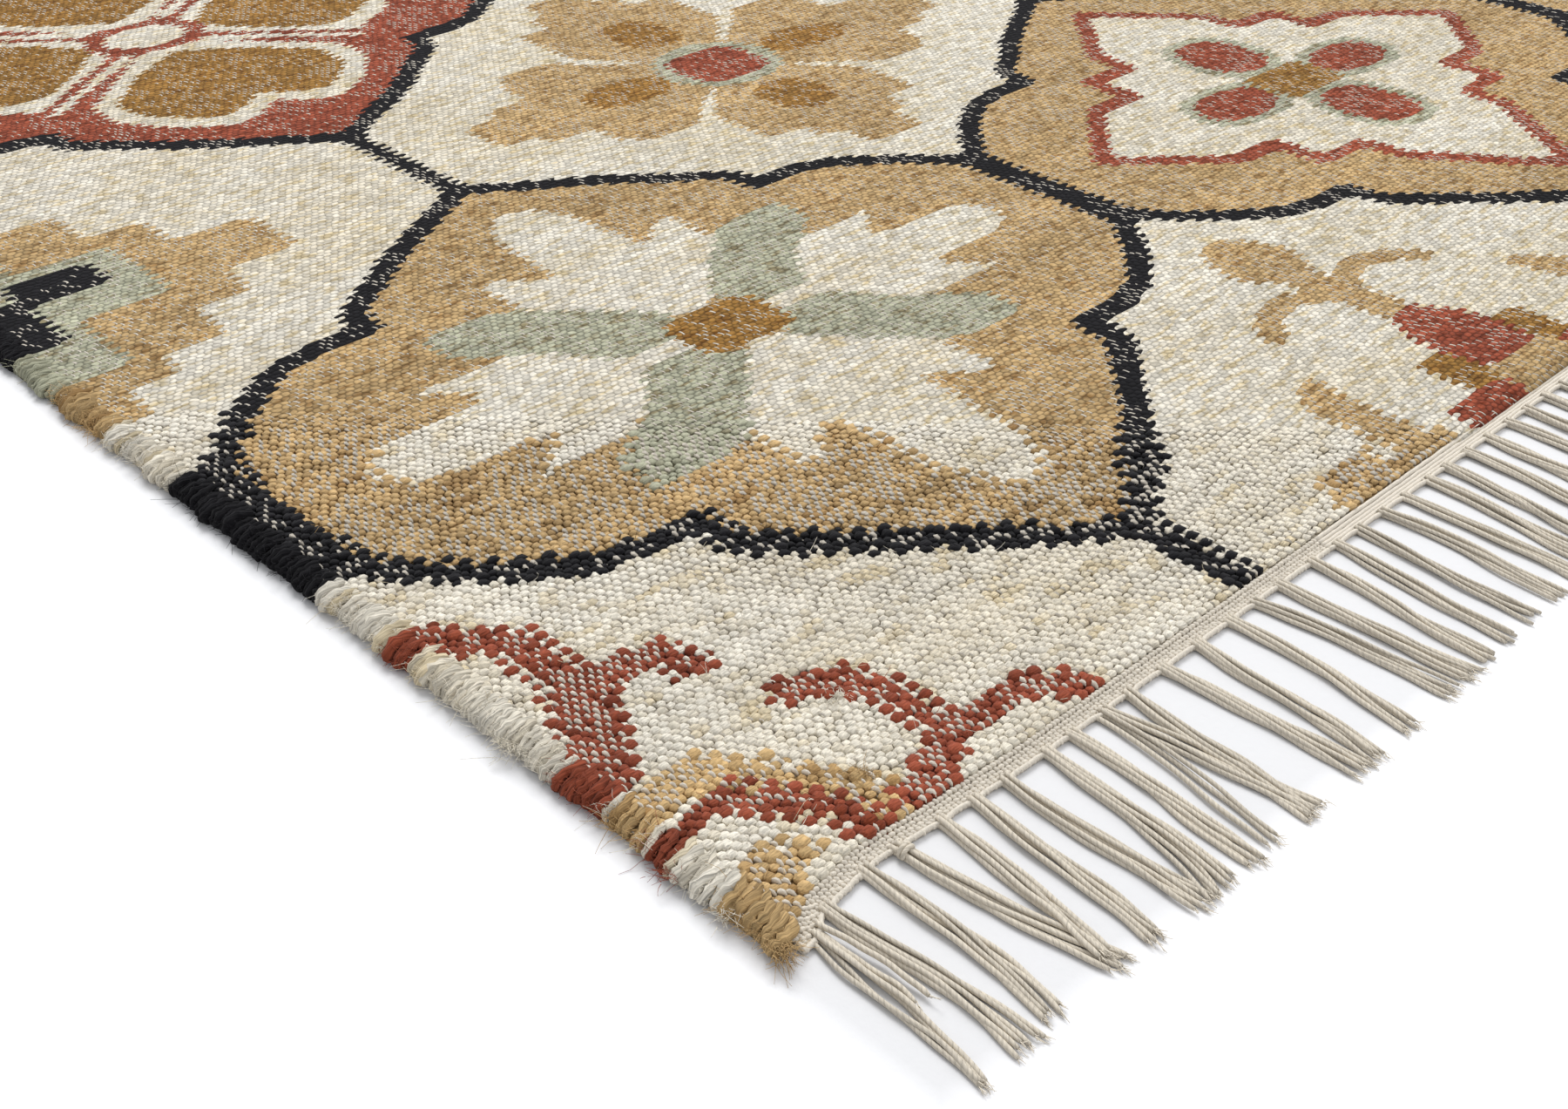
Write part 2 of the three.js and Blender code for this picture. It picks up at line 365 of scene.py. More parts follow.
def lay(x, y):
    """From chart places to the plan of the rug, both in mm from the corner."""
    near_left = np.clip(1 - x / SELVEDGE_FADE, 0, 1)
    near_right = np.clip(1 - (BODY_WIDTH - x) / SELVEDGE_FADE, 0, 1)
    near_front = np.clip(1 - y / END_FADE, 0, 1)
    near_back = np.clip(1 - (BODY_LENGTH - y) / END_FADE, 0, 1)
    left = np.interp(y, side_y, side_in)
    right = -np.interp(BODY_LENGTH - y, side_y, side_in)
    away = (1 - near_front) * (1 - near_back)
    x_plan = x + away * (near_left * left + near_right * right)
    y_plan = y - near_front * end_line(x) + near_back * end_line(BODY_WIDTH - x)
    return x_plan, y_plan


def full_height(x, y):
    """Height of the woven surface in mm."""
    selvedge = np.interp(np.minimum(x, BODY_WIDTH - x), *SELVEDGE_HEIGHT)
    end = np.interp(np.minimum(y, BODY_LENGTH - y), *END_HEIGHT)
    return FIELD * selvedge * end + UNEVEN * cloud(x, y, 90, 70, 3)


def metres(x, y, z):
    """mm from the corner to metres in the frame."""
    return np.stack([x - BODY_WIDTH / 2, y - BODY_LENGTH / 2, z], -1) * MM


print("end line", [round(float(end_line(x)), 1) for x in (0, 6, 25, 50, 130)],
      "selvedge", round(float(side_in.min()), 2), round(float(side_in.max()), 2))

# %% [markdown]
# One helper turns arrays of points into a mesh, with colours and a map along each yarn. Joined
# arrays suit a rug: thousands of like yarns become a few meshes.

# %% Mesh helper
def make_mesh(name, points, corners, sizes, colours=None, uv=None):
    """corners: vertex numbers face by face; sizes: corners in each face; uv: one for each corner."""
    mesh = bpy.data.meshes.new(name)
    mesh.vertices.add(len(points))
    mesh.vertices.foreach_set("co", np.asarray(points, np.float32).ravel())
    mesh.loops.add(len(corners))
    mesh.loops.foreach_set("vertex_index", np.asarray(corners, np.int32))
    mesh.polygons.add(len(sizes))
    starts = np.concatenate([[0], np.cumsum(sizes)[:-1]])
    mesh.polygons.foreach_set("loop_start", np.asarray(starts, np.int32))
    mesh.polygons.foreach_set("use_smooth", np.ones(len(sizes), bool))
    mesh.update(calc_edges=True)
    for layer, values in (colours or {}).items():
        attribute = mesh.attributes.new(layer, "FLOAT_COLOR", "POINT")
        attribute.data.foreach_set("color", np.asarray(values, np.float32).ravel())
    if uv is not None:
        mesh.uv_layers.new(name="yarn").uv.foreach_set("vector", np.asarray(uv, np.float32).ravel())
    piece = bpy.data.objects.new(name, mesh)
    bpy.context.scene.collection.objects.link(piece)
    print(name, "has", int(np.sum(np.asarray(sizes) - 2)), "triangles")
    return piece


# %% [markdown]
# The cloth is one closed sheet. It carries the chart as blurred amounts of each dye at its
# points, and its material picks the strongest, so the joins stay crisp between the points. Two
# sets, shifted each way, give the teeth. Near the camera the sheet lies lower, because there
# real yarns are modelled on it.

# %% Cloth sheet
FINE_X, FINE_Y = (760.0, 4.4, 9.0), (1000.0, 5.4, 10.0)
YARN_ZONE = (420.0, 470.0)
YARN_DEPTH, SHEET_DROP = 2.25, 0.2
END_DEPTH = ([0, 7], [0.6, 1])
SHEET_INSET = 1.5
UNDERSIDE = 0.2


def graded(length, fine_to, fine, coarse):
    """Grid lines with a fine step up to one place and a coarse one past it."""
    near = np.linspace(0, fine_to, round(fine_to / fine) + 1)
    far = np.linspace(fine_to, length, round((length - fine_to) / coarse) + 1)
    return np.concatenate([near, far[1:]])


def yarn_share(x, y):
    """1 where yarns are modelled one by one, fading to 0 away from the corner."""
    t = np.clip((YARN_ZONE[1] - (x + y)) / (YARN_ZONE[1] - YARN_ZONE[0]), 0, 1)
    return t * t * (3 - 2 * t)


def sheet_height(x, y):
    """Height of the sheet, which lies lower where yarns are modelled on it."""
    return full_height(x, y) - SHEET_DROP - YARN_DEPTH * yarn_share(x, y) * np.interp(y, *END_DEPTH)


def dye_amounts():
    """Blurred amount of each dye but cream, as a chart for each."""
    shares = []
    for dye in (TAN, OCHRE, SAGE, RED, BLACK):
        amount = np.pad((plain_chart == dye).astype(float), 1, mode="edge")
        amount = (amount[:-2] + amount[1:-1] + amount[2:]) / 3
        shares.append((amount[:, :-2] + amount[:, 1:-1] + amount[:, 2:]) / 3)
    return np.stack(shares, -1)


def sample(field, x, y):
    """Reads a chart between its squares."""
    gx = np.clip(x / WARP_PITCH - 0.5, 0, WARPS - 1.001)
    gy = np.clip(y / ROW_PITCH - 0.5, 0, ROWS - 1.001)
    i, j = gx.astype(int), gy.astype(int)
    s, t = (gx - i)[..., None], (gy - j)[..., None]
    low = field[j, i] * (1 - s) + field[j, i + 1] * s
    high = field[j + 1, i] * (1 - s) + field[j + 1, i + 1] * s
    return low * (1 - t) + high * t


def abrash(x, y):
    """Uneven dyeing from one hank of yarn to the next: bands along the weft, and patches."""
    bands = cloud(x, y, 260, 9, 5) * 0.55 + cloud(x, y, 900, 34, 6) * 0.45
    return np.clip(bands + 0.35 * cloud(x, y, 45, 30, 7), -1, 1)


def make_cloth():
    lines_x, lines_y = graded(BODY_WIDTH, *FINE_X), graded(BODY_LENGTH, *FINE_Y)
    x, y = np.meshgrid(lines_x, lines_y)
    wide, long = len(lines_x), len(lines_y)
    drawn_x = np.clip(x, SHEET_INSET, BODY_WIDTH - SHEET_INSET)
    top = metres(*lay(drawn_x, y), sheet_height(x, y)).reshape(-1, 3)
    number = np.arange(wide * long).reshape(long, wide)
    quads = np.stack([number[:-1, :-1], number[:-1, 1:], number[1:, 1:], number[1:, :-1]], -1).reshape(-1, 4)
    rim = np.concatenate([number[0, :-1], number[:-1, -1], number[-1, :0:-1], number[:0:-1, 0]])
    under = top[rim].copy()
    under[:, 2] = UNDERSIDE * MM
    below = len(top) + np.arange(len(rim))
    walls = np.stack([rim, below, np.roll(below, -1), np.roll(rim, -1)], -1)
    points = np.concatenate([top, under])
    corners = np.concatenate([quads.ravel(), walls.ravel(), below[::-1]])
    sizes = [4] * (len(quads) + len(walls)) + [len(rim)]
    place_x = np.concatenate([x.ravel(), x.ravel()[rim]])
    place_y = np.concatenate([y.ravel(), y.ravel()[rim]])
    amounts = dye_amounts()
    one, other = (sample(amounts, place_x + shift, place_y) for shift in (TOOTH, -TOOTH))
    tone = 0.5 + 0.5 * abrash(place_x, place_y)
    weave = np.stack([place_x / WARP_PITCH, place_y / ROW_PITCH], -1)[corners]
    extra = np.stack([one[:, 4], other[:, 4], tone, np.ones(len(tone))], -1)
    return make_mesh("kilim_rug", points, corners, sizes,
                     {"dyes_one": one[:, :4], "dyes_other": other[:, :4], "black_tone": extra}, weave)


cloth = make_cloth()

# %% [markdown]
# Near the camera every crossing is modelled. The weft swells where it passes over a warp, and
# the warp shows as a thin float where it passes over the weft. Each starts as a sphere with its
# poles along the yarn, cut in half and closed, and is then copied to its crossings. The cut adds
# points in another order in each run, so its points and faces are put in order first.

# %% Half blobs to copy
FLAT_FOOT = 0.01


def half_blob(around, rings, along_x, turn=0.0):
    """Points and faces of a closed half ellipsoid of half size 1, lying along X or Y."""
    bpy.ops.object.select_all(action="DESELECT")
    bpy.ops.mesh.primitive_uv_sphere_add(segments=around, ring_count=rings, radius=1)
    blob = bpy.context.object
    bpy.ops.object.mode_set(mode="EDIT")
    bpy.ops.mesh.select_all(action="SELECT")
    bpy.ops.transform.rotate(value=turn, orient_axis="Z", center_override=(0, 0, 0))
    axis = "Y" if along_x else "X"
    bpy.ops.transform.rotate(value=math.pi / 2, orient_axis=axis, center_override=(0, 0, 0))
    bpy.ops.mesh.bisect(plane_co=(0, 0, 0), plane_no=(0, 0, 1), use_fill=True, clear_inner=True)
    bpy.ops.mesh.select_all(action="SELECT")
    bpy.ops.mesh.remove_doubles(threshold=0.001)
    bpy.ops.mesh.normals_make_consistent(inside=False)
    bpy.ops.object.mode_set(mode="OBJECT")
    points = np.array([v.co for v in blob.data.vertices])
    cut = np.nonzero(points[:, 2] > FLAT_FOOT)[0].max() + 1
    order = np.r_[:cut, cut + np.lexsort(points[cut:].round(3).T)]
    rank = np.argsort(order)
    faces = [rank[list(f.vertices)] for f in blob.data.polygons]
    faces = sorted((np.roll(f, -np.argmin(f)) if len(f) > 4 else f).tolist() for f in faces)
    bpy.data.objects.remove(blob)
    print("half blob", len(points), "points,", sum(len(f) - 2 for f in faces), "triangles")
    return points[order].round(6), faces


def copy_blobs(name, blob, centres, halves, lean, colours, bow=0.0, fullness=0.85, crumple=0.1):
    """One closed mesh of many blobs. halves: half sizes along X, Y and Z; lean: turn in plan;
    bow: how far the middle is pushed sideways; crumple: unevenness in mm."""
    points, faces = blob
    shape = np.sign(points) * np.abs(points) ** fullness
    size = np.stack(np.broadcast_arrays(*halves), -1)[:, None, :]
    local = shape[None] * size
    along = int(size[0, 0, 1] > size[0, 0, 0])
    local[..., 1 - along] += np.reshape(bow, (-1, 1)) * (1 - points[None, :, along] ** 2)
    jolt = np.random.default_rng(len(centres)).uniform(-crumple, crumple, local.shape)
    jolt[..., 2] *= local[..., 2] > FLAT_FOOT
    local += jolt
    turn_c, turn_s = np.cos(lean)[:, None], np.sin(lean)[:, None]
    x = centres[:, 0, None] + local[..., 0] * turn_c - local[..., 1] * turn_s
    y = centres[:, 1, None] + local[..., 0] * turn_s + local[..., 1] * turn_c
    z = centres[:, 2, None] + local[..., 2]
    count, each = len(centres), len(points)
    flat = np.concatenate([np.array(f) for f in faces])
    corners = (flat[None] + each * np.arange(count)[:, None]).ravel()
    sizes = np.tile([len(f) for f in faces], count)
    shades = np.repeat(np.concatenate([colours, np.ones((count, 1))], 1), each, 0)
    return make_mesh(name, metres(x, y, z).reshape(-1, 3), corners, sizes, {"dye": shades})


fine_weft, plain_weft = half_blob(8, 5, True), half_blob(4, 4, True, math.pi / 4)
fine_warp, plain_warp = half_blob(6, 5, False), half_blob(4, 4, False)

# %% [markdown]
# Hand-dyed jute is never one flat colour. It shades in bands along the weft and from yarn to
# yarn, and undyed fibre shows through in slubs. Each modelled yarn gets its own shade.

# %% Dyes and their shades
DYES = {CREAM: (214, 208, 194), TAN: (181, 152, 107), OCHRE: (149, 110, 54), SAGE: (168, 168, 145),
        RED: (147, 74, 52), BLACK: (20, 19, 22)}
CREAM_SLUB, DYED_SLUB = (0.80, 0.70, 0.50), (0.52, 0.41, 0.28)
COTTON = (210, 202, 188)
# for cream, tan, ochre, sage, red and black: how much it shades in bands and from yarn to yarn,
# how strong its slubs are, and how much painted shade darkens it where single yarns show
BANDING = np.array([0.08, 0.24, 0.24, 0.24, 0.24, 0.25])
VARIETY = np.array([0.09, 0.14, 0.14, 0.14, 0.14, 0.14])
SLUBBING = np.array([0.8, 0.8, 0.8, 0.8, 0.8, 0.0])
PAINTED_YARN_SHADE = np.array([1.0, 1.0, 1.0, 1.0, 0.85, 1.0])


def linear(rgb):
    """Blender's linear colour for an everyday 0 to 255 colour."""
    c = np.asarray(rgb, float) / 255
    return np.where(c <= 0.04045, c / 12.92, ((c + 0.055) / 1.055) ** 2.4)


DYE_TABLE = np.array([linear(DYES[d]) for d in range(6)])


def weft_colour(dyes, x, y, chance):
    """Dyed yarn with its uneven shade, and a painted shade that darkens red; chance is one seeded number from
    -1 to 1 for each place.
    """
    cream = dyes == CREAM
    shade = 1 + BANDING[dyes] * abrash(x, y) + VARIETY[dyes] * chance
    slub = np.clip(1.7 * cloud(x, y, 11, ROW_PITCH, 8) - 0.45, 0, 1) + 0.25 * (chance < -0.7)
    natural = cream * 0.3 * np.clip(0.3 + cloud(x, y, 55, 30, 9), 0, 1)
    slub = (np.clip(slub + natural, 0, 1) * SLUBBING[dyes])[:, None]
    tint = np.where(cream[:, None], CREAM_SLUB, DYED_SLUB)
    # the last table darkens red a little as painted shade, for the shade between its lumps
    return DYE_TABLE[dyes] * (PAINTED_YARN_SHADE[dyes] * np.clip(shade, 0.4, 1.5))[:, None] * (1 - slub + slub * tint)


print("linear dyes", DYE_TABLE.round(3).tolist())

# %% [markdown]
# Jute is spun unevenly too, so each swell of the weft has its own size and lean. Where a colour
# ends, its yarn turns back in a bigger lump. Cream yarn is the plumpest.

# %% Weft swells
FINE_REACH = 265.0
SELVEDGE_REACH = 14.0
SWELL_LENGTH, SWELL_WIDTH = (2.45, 2.25), (2.25, 2.1)  # half sizes of cream and dyed yarn
CREAM_RISE = (0.1, 0.0)
LUMP_LENGTH, LUMP_WIDTH, LUMP_RISE, LUMP_LEAN, LUMP_SHIFT = 1.1, 0.65, 1.0, 0.15, 0.9
LEAST_SHARE = 0.08


def crossing_places(weft_on_top, nearest, furthest):
    """Charted crossings of one kind, from one distance from the corner to another."""
    j, i = np.meshgrid(np.arange(ROWS), np.arange(WARPS), indexing="ij")
    x, y = grid_x, grid_y
    keep = ((i + j) % 2 == (0 if weft_on_top else 1)) & (x + y >= nearest) & (x + y < furthest)
    keep &= (x > SELVEDGE_REACH - 3) & (yarn_share(x, y) > LEAST_SHARE) & (y > 3)
    i, j, x, y = i[keep], j[keep], x[keep], y[keep]
    x = x + 0.4 * cloud(x, y, WARP_PITCH, 120, 11) + 0.3 * cloud(x, y, 9, 7, 12)
    y = y + 0.6 * cloud(x, y, 26, 7, 13)
    return i, j, x, y


def beside(i, j, step):
    """The dye of the same row some warps further."""
    return weave_chart[j, np.clip(i + step, 0, WARPS - 1)]


def make_weft(name, blob, nearest, furthest, seed):
    rng = np.random.default_rng(seed)
    i, j, x, y = crossing_places(True, nearest, furthest)
    chance = rng.uniform(-1, 1, (5, len(x)))
    dyes, share = weave_chart[j, i], yarn_share(x, y)
    slub = 0.6 * cloud(x, y, 7, ROW_PITCH, seed + 1) + 0.5 * chance[0]
    cream = dyes == CREAM
    right, left = beside(i, j, 2) < dyes, beside(i, j, -2) < dyes
    lump = (right | left) & (chance[4] > -0.6)
    half_length = np.where(cream, *SWELL_LENGTH) * (1 + 0.19 * slub) + lump * LUMP_LENGTH
    half_width = np.where(cream, *SWELL_WIDTH) * (1 + 0.22 * slub) + lump * LUMP_WIDTH
    height = (YARN_DEPTH + np.where(cream, *CREAM_RISE) + 0.75 * slub + lump * LUMP_RISE) * share
    lean = -0.05 + 0.2 * chance[1] + lump * LUMP_LEAN
    x = x + lump * LUMP_SHIFT * (right.astype(float) - left)
    centres = np.stack([*lay(x, y + 0.25 * chance[2]), sheet_height(x, y)], -1)
    colours = weft_colour(dyes, x, y, chance[3])
    return copy_blobs(name, blob, centres, (half_length, half_width, height), lean, colours,
                      0.25 * chance[2], 0.72, 0.22)


weft_corner = make_weft("weft_corner", fine_weft, 0, FINE_REACH, 21)
weft_field = make_weft("weft_field", plain_weft, FINE_REACH, YARN_ZONE[1], 31)

# %% [markdown]
# The warp floats are thinner and smoother, because the warp is cotton under tension. Plump weft
# covers many of them, above all in cream and beside a join, so those are left out.

# %% Warp floats
FLOAT_FADE = [200, 300]
FLOAT_WIDTH = [0.4, 0.56, 0.56, 0.55, 0.6, 0.48]
FLOAT_LENGTH, FLOAT_RISE = (1.8, 2.1), (0.0, 0.75)


def make_warp(name, blob, nearest, furthest, seed):
    rng = np.random.default_rng(seed)
    i, j, x, y = crossing_places(False, nearest, furthest)
    chance = rng.uniform(-1, 1, (5, len(x)))
    dyes, share = weave_chart[j, i], yarn_share(x, y)
    cream = dyes == CREAM
    sparse = np.where(cream, -0.2, np.interp(x + y, FLOAT_FADE, [-0.45, -0.1]))
    covered = chance[0] < sparse + 0.5 * cloud(x, y, 24, 20, 15)
    for step, chosen in ((1, chance[4] < 0.9), (3, (dyes == BLACK) & (chance[4] < 0.2))):
        covered |= ((beside(i, j, step) != dyes) | (beside(i, j, -step) != dyes)) & chosen
    slim = np.interp(x + y, FLOAT_FADE, [1, 0.82])
    half_width = np.choose(dyes, FLOAT_WIDTH) * (1 + 0.15 * chance[1]) * slim
    half_length = np.where(cream, *FLOAT_LENGTH) + 0.25 * chance[2]
    height = (YARN_DEPTH + np.where(cream, *FLOAT_RISE) + 0.3 * chance[2]) * share
    centres = np.stack([*lay(x, y), sheet_height(x, y)], -1)
    pale = np.where(cream, 0.82, np.interp(x + y, FLOAT_FADE, [1.08, 0.95]))
    colours = linear(COTTON) * (pale + 0.08 * chance[3])[:, None]
    shown = ~covered
    return copy_blobs(name, blob, centres[shown], (half_width[shown], half_length[shown], height[shown]),
                      (0.2 + 0.12 * chance[3])[shown], colours[shown], (0.35 + 0.2 * chance[1])[shown])


warp_corner = make_warp("warp_corner", fine_warp, 0, FINE_REACH, 23)
warp_field = make_warp("warp_field", plain_warp, FINE_REACH, YARN_ZONE[1], 33)

# %% [markdown]
# Loops, strands, cords and loose fibres are all tubes along a path, each with a map that runs
# round and along it.

# %% Tubes along many paths
def make_tubes(name, paths, radii, sides, colours, hint=(0, 0, 1)):
    """Closed tubes. paths: tube, station, x y z in mm from the corner; radii: tube, station;
    hint: a direction that no tube runs along."""
    along = np.gradient(paths, axis=1)
    along /= np.linalg.norm(along, axis=2, keepdims=True)
    across = np.cross(along, np.array(hint, float))
    across /= np.linalg.norm(across, axis=2, keepdims=True)
    upward = np.cross(across, along)
    steps = np.linalg.norm(np.diff(paths, axis=1), axis=2)
    reach = np.concatenate([np.zeros((len(paths), 1)), np.cumsum(steps, axis=1)], 1)
    angle = 2 * math.pi * np.arange(sides) / sides
    ring = (np.cos(angle)[None, None, :, None] * across[:, :, None] +
            np.sin(angle)[None, None, :, None] * upward[:, :, None])
    points = paths[:, :, None] + radii[..., None, None] * ring
    tubes, stations = paths.shape[:2]
    number = np.arange(tubes * stations * sides).reshape(tubes, stations, sides)
    turned = np.roll(number, -1, axis=2)
    quads = np.stack([number[:, :-1], number[:, 1:], turned[:, 1:], turned[:, :-1]], -1)
    caps = np.concatenate([number[:, 0], number[:, -1, ::-1]])
    corners = np.concatenate([quads.ravel(), caps.ravel()])
    sizes = [4] * (quads.size // 4) + [sides] * len(caps)
    side_u = np.arange(sides) / sides
    quad_u = np.stack([side_u, side_u, side_u + 1 / sides, side_u + 1 / sides], -1)
    quad_u = np.broadcast_to(quad_u, quads.shape).ravel()
    v = np.repeat((reach + 7.3 * np.arange(tubes)[:, None])[..., None], sides, 2).ravel() * MM
    u = np.concatenate([quad_u, np.tile(side_u, len(caps))])
    uv = np.stack([u, v[corners]], -1)
    shades = np.repeat(np.concatenate([colours, np.ones((tubes, 1))], 1), stations * sides, 0)
    return make_mesh(name, metres(*np.moveaxis(points, -1, 0)).reshape(-1, 3), corners, sizes,
                     {"dye": shades}, uv)


def half_turn(paths):
    """The same paths at the other end of the rug, half a turn away."""
    return paths * (-1, -1, 1) + (BODY_WIDTH, BODY_LENGTH, 0)


# %% [markdown]
# At each selvedge a row's weft goes round the outermost warps and back, over a longer stretch
# than in the field. Each row gets one bulky loop that starts on top, goes round the edge and
# ends underneath. The yarn is loose there, so the loops differ in size and reach.

# %% Selvedge loops
LOOP = [(15.5, 4.0), (12.5, 5.3), (8.5, 5.9), (4.6, 5.7), (1.8, 4.6), (0.8, 3.1), (1.6, 1.9), (3.6, 1.7)]
# the second number darkens every loop's colour, a painted shade for the shade in its fuzzy turns
LOOP_RADIUS, PAINTED_LOOP_SHADE = 1.95, 0.78
NEAR_ROWS = 190


def make_selvedge(name, rows, right_side, sides, stations, seed):
    """Loops of the given rows, on the left side or turned to the right one."""
    rng = np.random.default_rng(seed)
    chance = rng.uniform(-1, 1, (len(rows), 6))
    still = np.zeros(len(rows))
    share = np.linspace(0, len(LOOP) - 1, stations)
    table = np.array(LOOP)
    x, z = (np.tile(np.interp(share, np.arange(len(LOOP)), table[:, k]), (len(rows), 1)) for k in (0, 1))
    bulk = 1 + 0.28 * cloud(still, row_y[rows], 9, 10, seed) + 0.24 * chance[:, 0]
    bulge = 1.7 * cloud(still, row_y[rows], 9, 15, seed + 1) + 1.0 * chance[:, 1]
    x = x - bulge[:, None] * np.exp(-x / 6) + 2.2 * chance[:, 2:3] * np.exp((x - 15) / 3)
    z = z + (0.5 * chance[:, 3:4] + 1.2 * (bulk[:, None] - 1)) * np.clip((z - 2.5) / 2, 0, 1)
    slant = 1.6 + 1.2 * chance[:, 4:5] + 1.2 * cloud(still, row_y[rows], 9, 23, seed + 2)[:, None]
    y = row_y[rows][:, None] + 0.6 * chance[:, 5:6] + slant * (x - 8) / 8
    y = y + 0.35 * np.sin(share[None] * 2.2 + 9 * chance[:, :1])
    end = np.interp(np.minimum(y, BODY_LENGTH - y), *END_HEIGHT)
    z = z * np.where(x > 2, 0.35 + 0.65 * end, 1)
    plan_x, plan_y = lay(x, np.clip(y, 0, BODY_LENGTH))
    paths = np.stack([plan_x, plan_y, np.maximum(z, LOOP_RADIUS * 0.8)], -1)
    swell = 1 + 0.2 * np.sin(share[None] * 4.2 + 12 * chance[:, 3:4]) + rng.uniform(-0.12, 0.12, x.shape)
    radii = LOOP_RADIUS * bulk[:, None] * np.interp(share, [0, 1.5, 6, 7], [0.5, 1, 1, 0.8])[None] * swell
    radii = np.minimum(radii, paths[..., 2] - 0.1)
    if right_side:
        paths = half_turn(paths)
        rows = ROWS - 1 - rows
    dyes = weave_chart[rows, WARPS - 2 if right_side else 1]
    place_x = np.full(len(rows), BODY_WIDTH if right_side else 0.0)
    # painted shade: the loops are darkened
    colours = weft_colour(dyes, place_x, row_y[rows], chance[:, 1]) * PAINTED_LOOP_SHADE
    return make_tubes(name, paths, radii, sides, colours, hint=(0, 1, 0))


selvedge_corner = make_selvedge("selvedge_corner", np.arange(NEAR_ROWS), False, 8, 13, 41)
selvedge_left = make_selvedge("selvedge_left", np.arange(NEAR_ROWS, ROWS), False, 5, 6, 42)
selvedge_right = make_selvedge("selvedge_right", np.arange(ROWS), True, 5, 6, 43)

# %% [markdown]
# Past the jute the weaver makes a narrow web of cotton to lock the rows, and bunches the warp
# ends below it. Tassels near the photographed corner have their own places; the others repeat
# with a small wobble. The web bulges out a little at each tassel.

# %% Tassel places
HEADING_START, HEADING_WIDTH = 0.3, 6.5
CORNER_TASSELS = [
    # root, tip, spread at the tip, strands, lift of the tip, reach
    (15.5, 9.5, 5, 4, 0, 76), (18.5, 19.5, 3, 2, 0.6, 42), (27, 31, 12, 6, 0, 81), (49, 45.5, 9, 6, 0, 82),
    (65, 78, 9, 7, 0, 83), (86, 76.5, 6, 6, 1.6, 77), (102.4, 95, 7, 6, 0, 82), (118.5, 119, 9, 6, 0, 83),
    (141, 129, 14, 8, 0, 83), (155.5, 148, 7, 6, 0, 83), (172, 161.5, 5, 3, 0, 83), (174.5, 187, 9, 4, 0, 83),
    (190.5, 182, 7, 6, 0, 83), (212, 216, 11, 7, 0, 83), (235, 226, 8, 6, 0, 83), (257, 250.5, 7, 6, 0, 83),
    (275, 281, 9, 6, 0, 83), (293, 296, 10, 7, 0, 83), (317, 311, 9, 6, 0, 83),
]
TASSEL_PITCH, LAST_TASSEL = 18.6, 15.0
TIP_DRIFT = -6


def tassel_table():
    """The tassels of the corner, then regular ones with a wobble up to the other side."""
    rng = np.random.default_rng(51)
    first, last = CORNER_TASSELS[-1][0], BODY_WIDTH - LAST_TASSEL
    count = round((last - first) / TASSEL_PITCH)
    rows = list(CORNER_TASSELS)
    for k in range(1, count + 1):
        root = first + (last - first) * k / count + (rng.uniform(-1.3, 1.3) if k < count else 0)
        tip = root + TIP_DRIFT + rng.uniform(-4.5, 4.5)
        rows.append((root, tip, rng.uniform(6, 11), int(rng.integers(5, 8)), 0, rng.uniform(81, 84)))
    return np.array(rows)


tassels = tassel_table()


def web_edge(x):
    """How far the web reaches out past the end line: less between tassels, more at their roots."""
    gap = np.min(np.abs(np.asarray(x)[..., None] - tassels[:, 0]), -1)
    return HEADING_START + HEADING_WIDTH - 1.2 * np.clip(gap / 5, 0, 1) + 0.4


print("tassels at each end", len(tassels))

# %% [markdown]
# Past the jute lies the narrow cotton web. Its picks need something closed to lie on, so a flat
# strip is made first. Its outer edge follows the scallops, and no floor shows through the web.

# %% Heading cores
HEADING_INSET = 8.0
WEB_COTTON = linear(COTTON) * 0.98
CORE_STATIONS = 500
CORE_BACK, CORE_RISE = 0.7, (2.0, 1.4)
far_edge = BODY_WIDTH - HEADING_INSET


def web_core(name, turned):
    """Thin closed strip that the picks lie on."""
    x = np.linspace(HEADING_INSET, far_edge, CORE_STATIONS)
    inner, outer = -(end_line(x) + HEADING_START), -(end_line(x) + web_edge(x) - CORE_BACK)
    section = ((inner, UNDERSIDE), (outer, UNDERSIDE), (outer, CORE_RISE[1]), (inner, CORE_RISE[0]))
    points = np.stack([np.stack([x, y, np.full(len(x), z)], -1) for y, z in section], 1)
    points = half_turn(points) if turned else points
    number = np.arange(len(x) * 4).reshape(-1, 4)
    following = np.roll(number, -1, axis=1)
    quads = np.stack([number[:-1], following[:-1], following[1:], number[1:]], -1)
    corners = np.concatenate([quads.ravel(), number[0, ::-1], number[-1]])
    sizes = [4] * (quads.size // 4) + [4, 4]
    shades = np.tile(np.append(WEB_COTTON, 1), (number.size, 1))
    places = metres(*np.moveaxis(points, -1, 0)).reshape(-1, 3)
    return make_mesh(name, places, corners, sizes, {"dye": shades}, np.zeros((len(corners), 2)))


heading_front, heading_back = web_core("heading_web_front", False), web_core("heading_web_back", True)

# %% [markdown]
# The web is plain-woven, five picks wide. Near the camera each crossing is modelled, with warp
# and weft equally thick and leaning with their twist. Further off, cords stand for the picks.

# %% Heading crossings and cords
WEB_PICKS = [-2.0, -0.2, 1.5, 3.1]
WEB_RISE = [1.7, 0.8, 0.2, 0, 0]
PICKS = len(WEB_RISE)
WEB_NEAR = 330.0
WEB_CORD = 1.05


def web_row(x, pick):
    """Distance out of a pick: the outermost one follows the scalloped edge."""
    return WEB_PICKS[pick] if pick < PICKS - 1 else web_edge(x) - 1.2


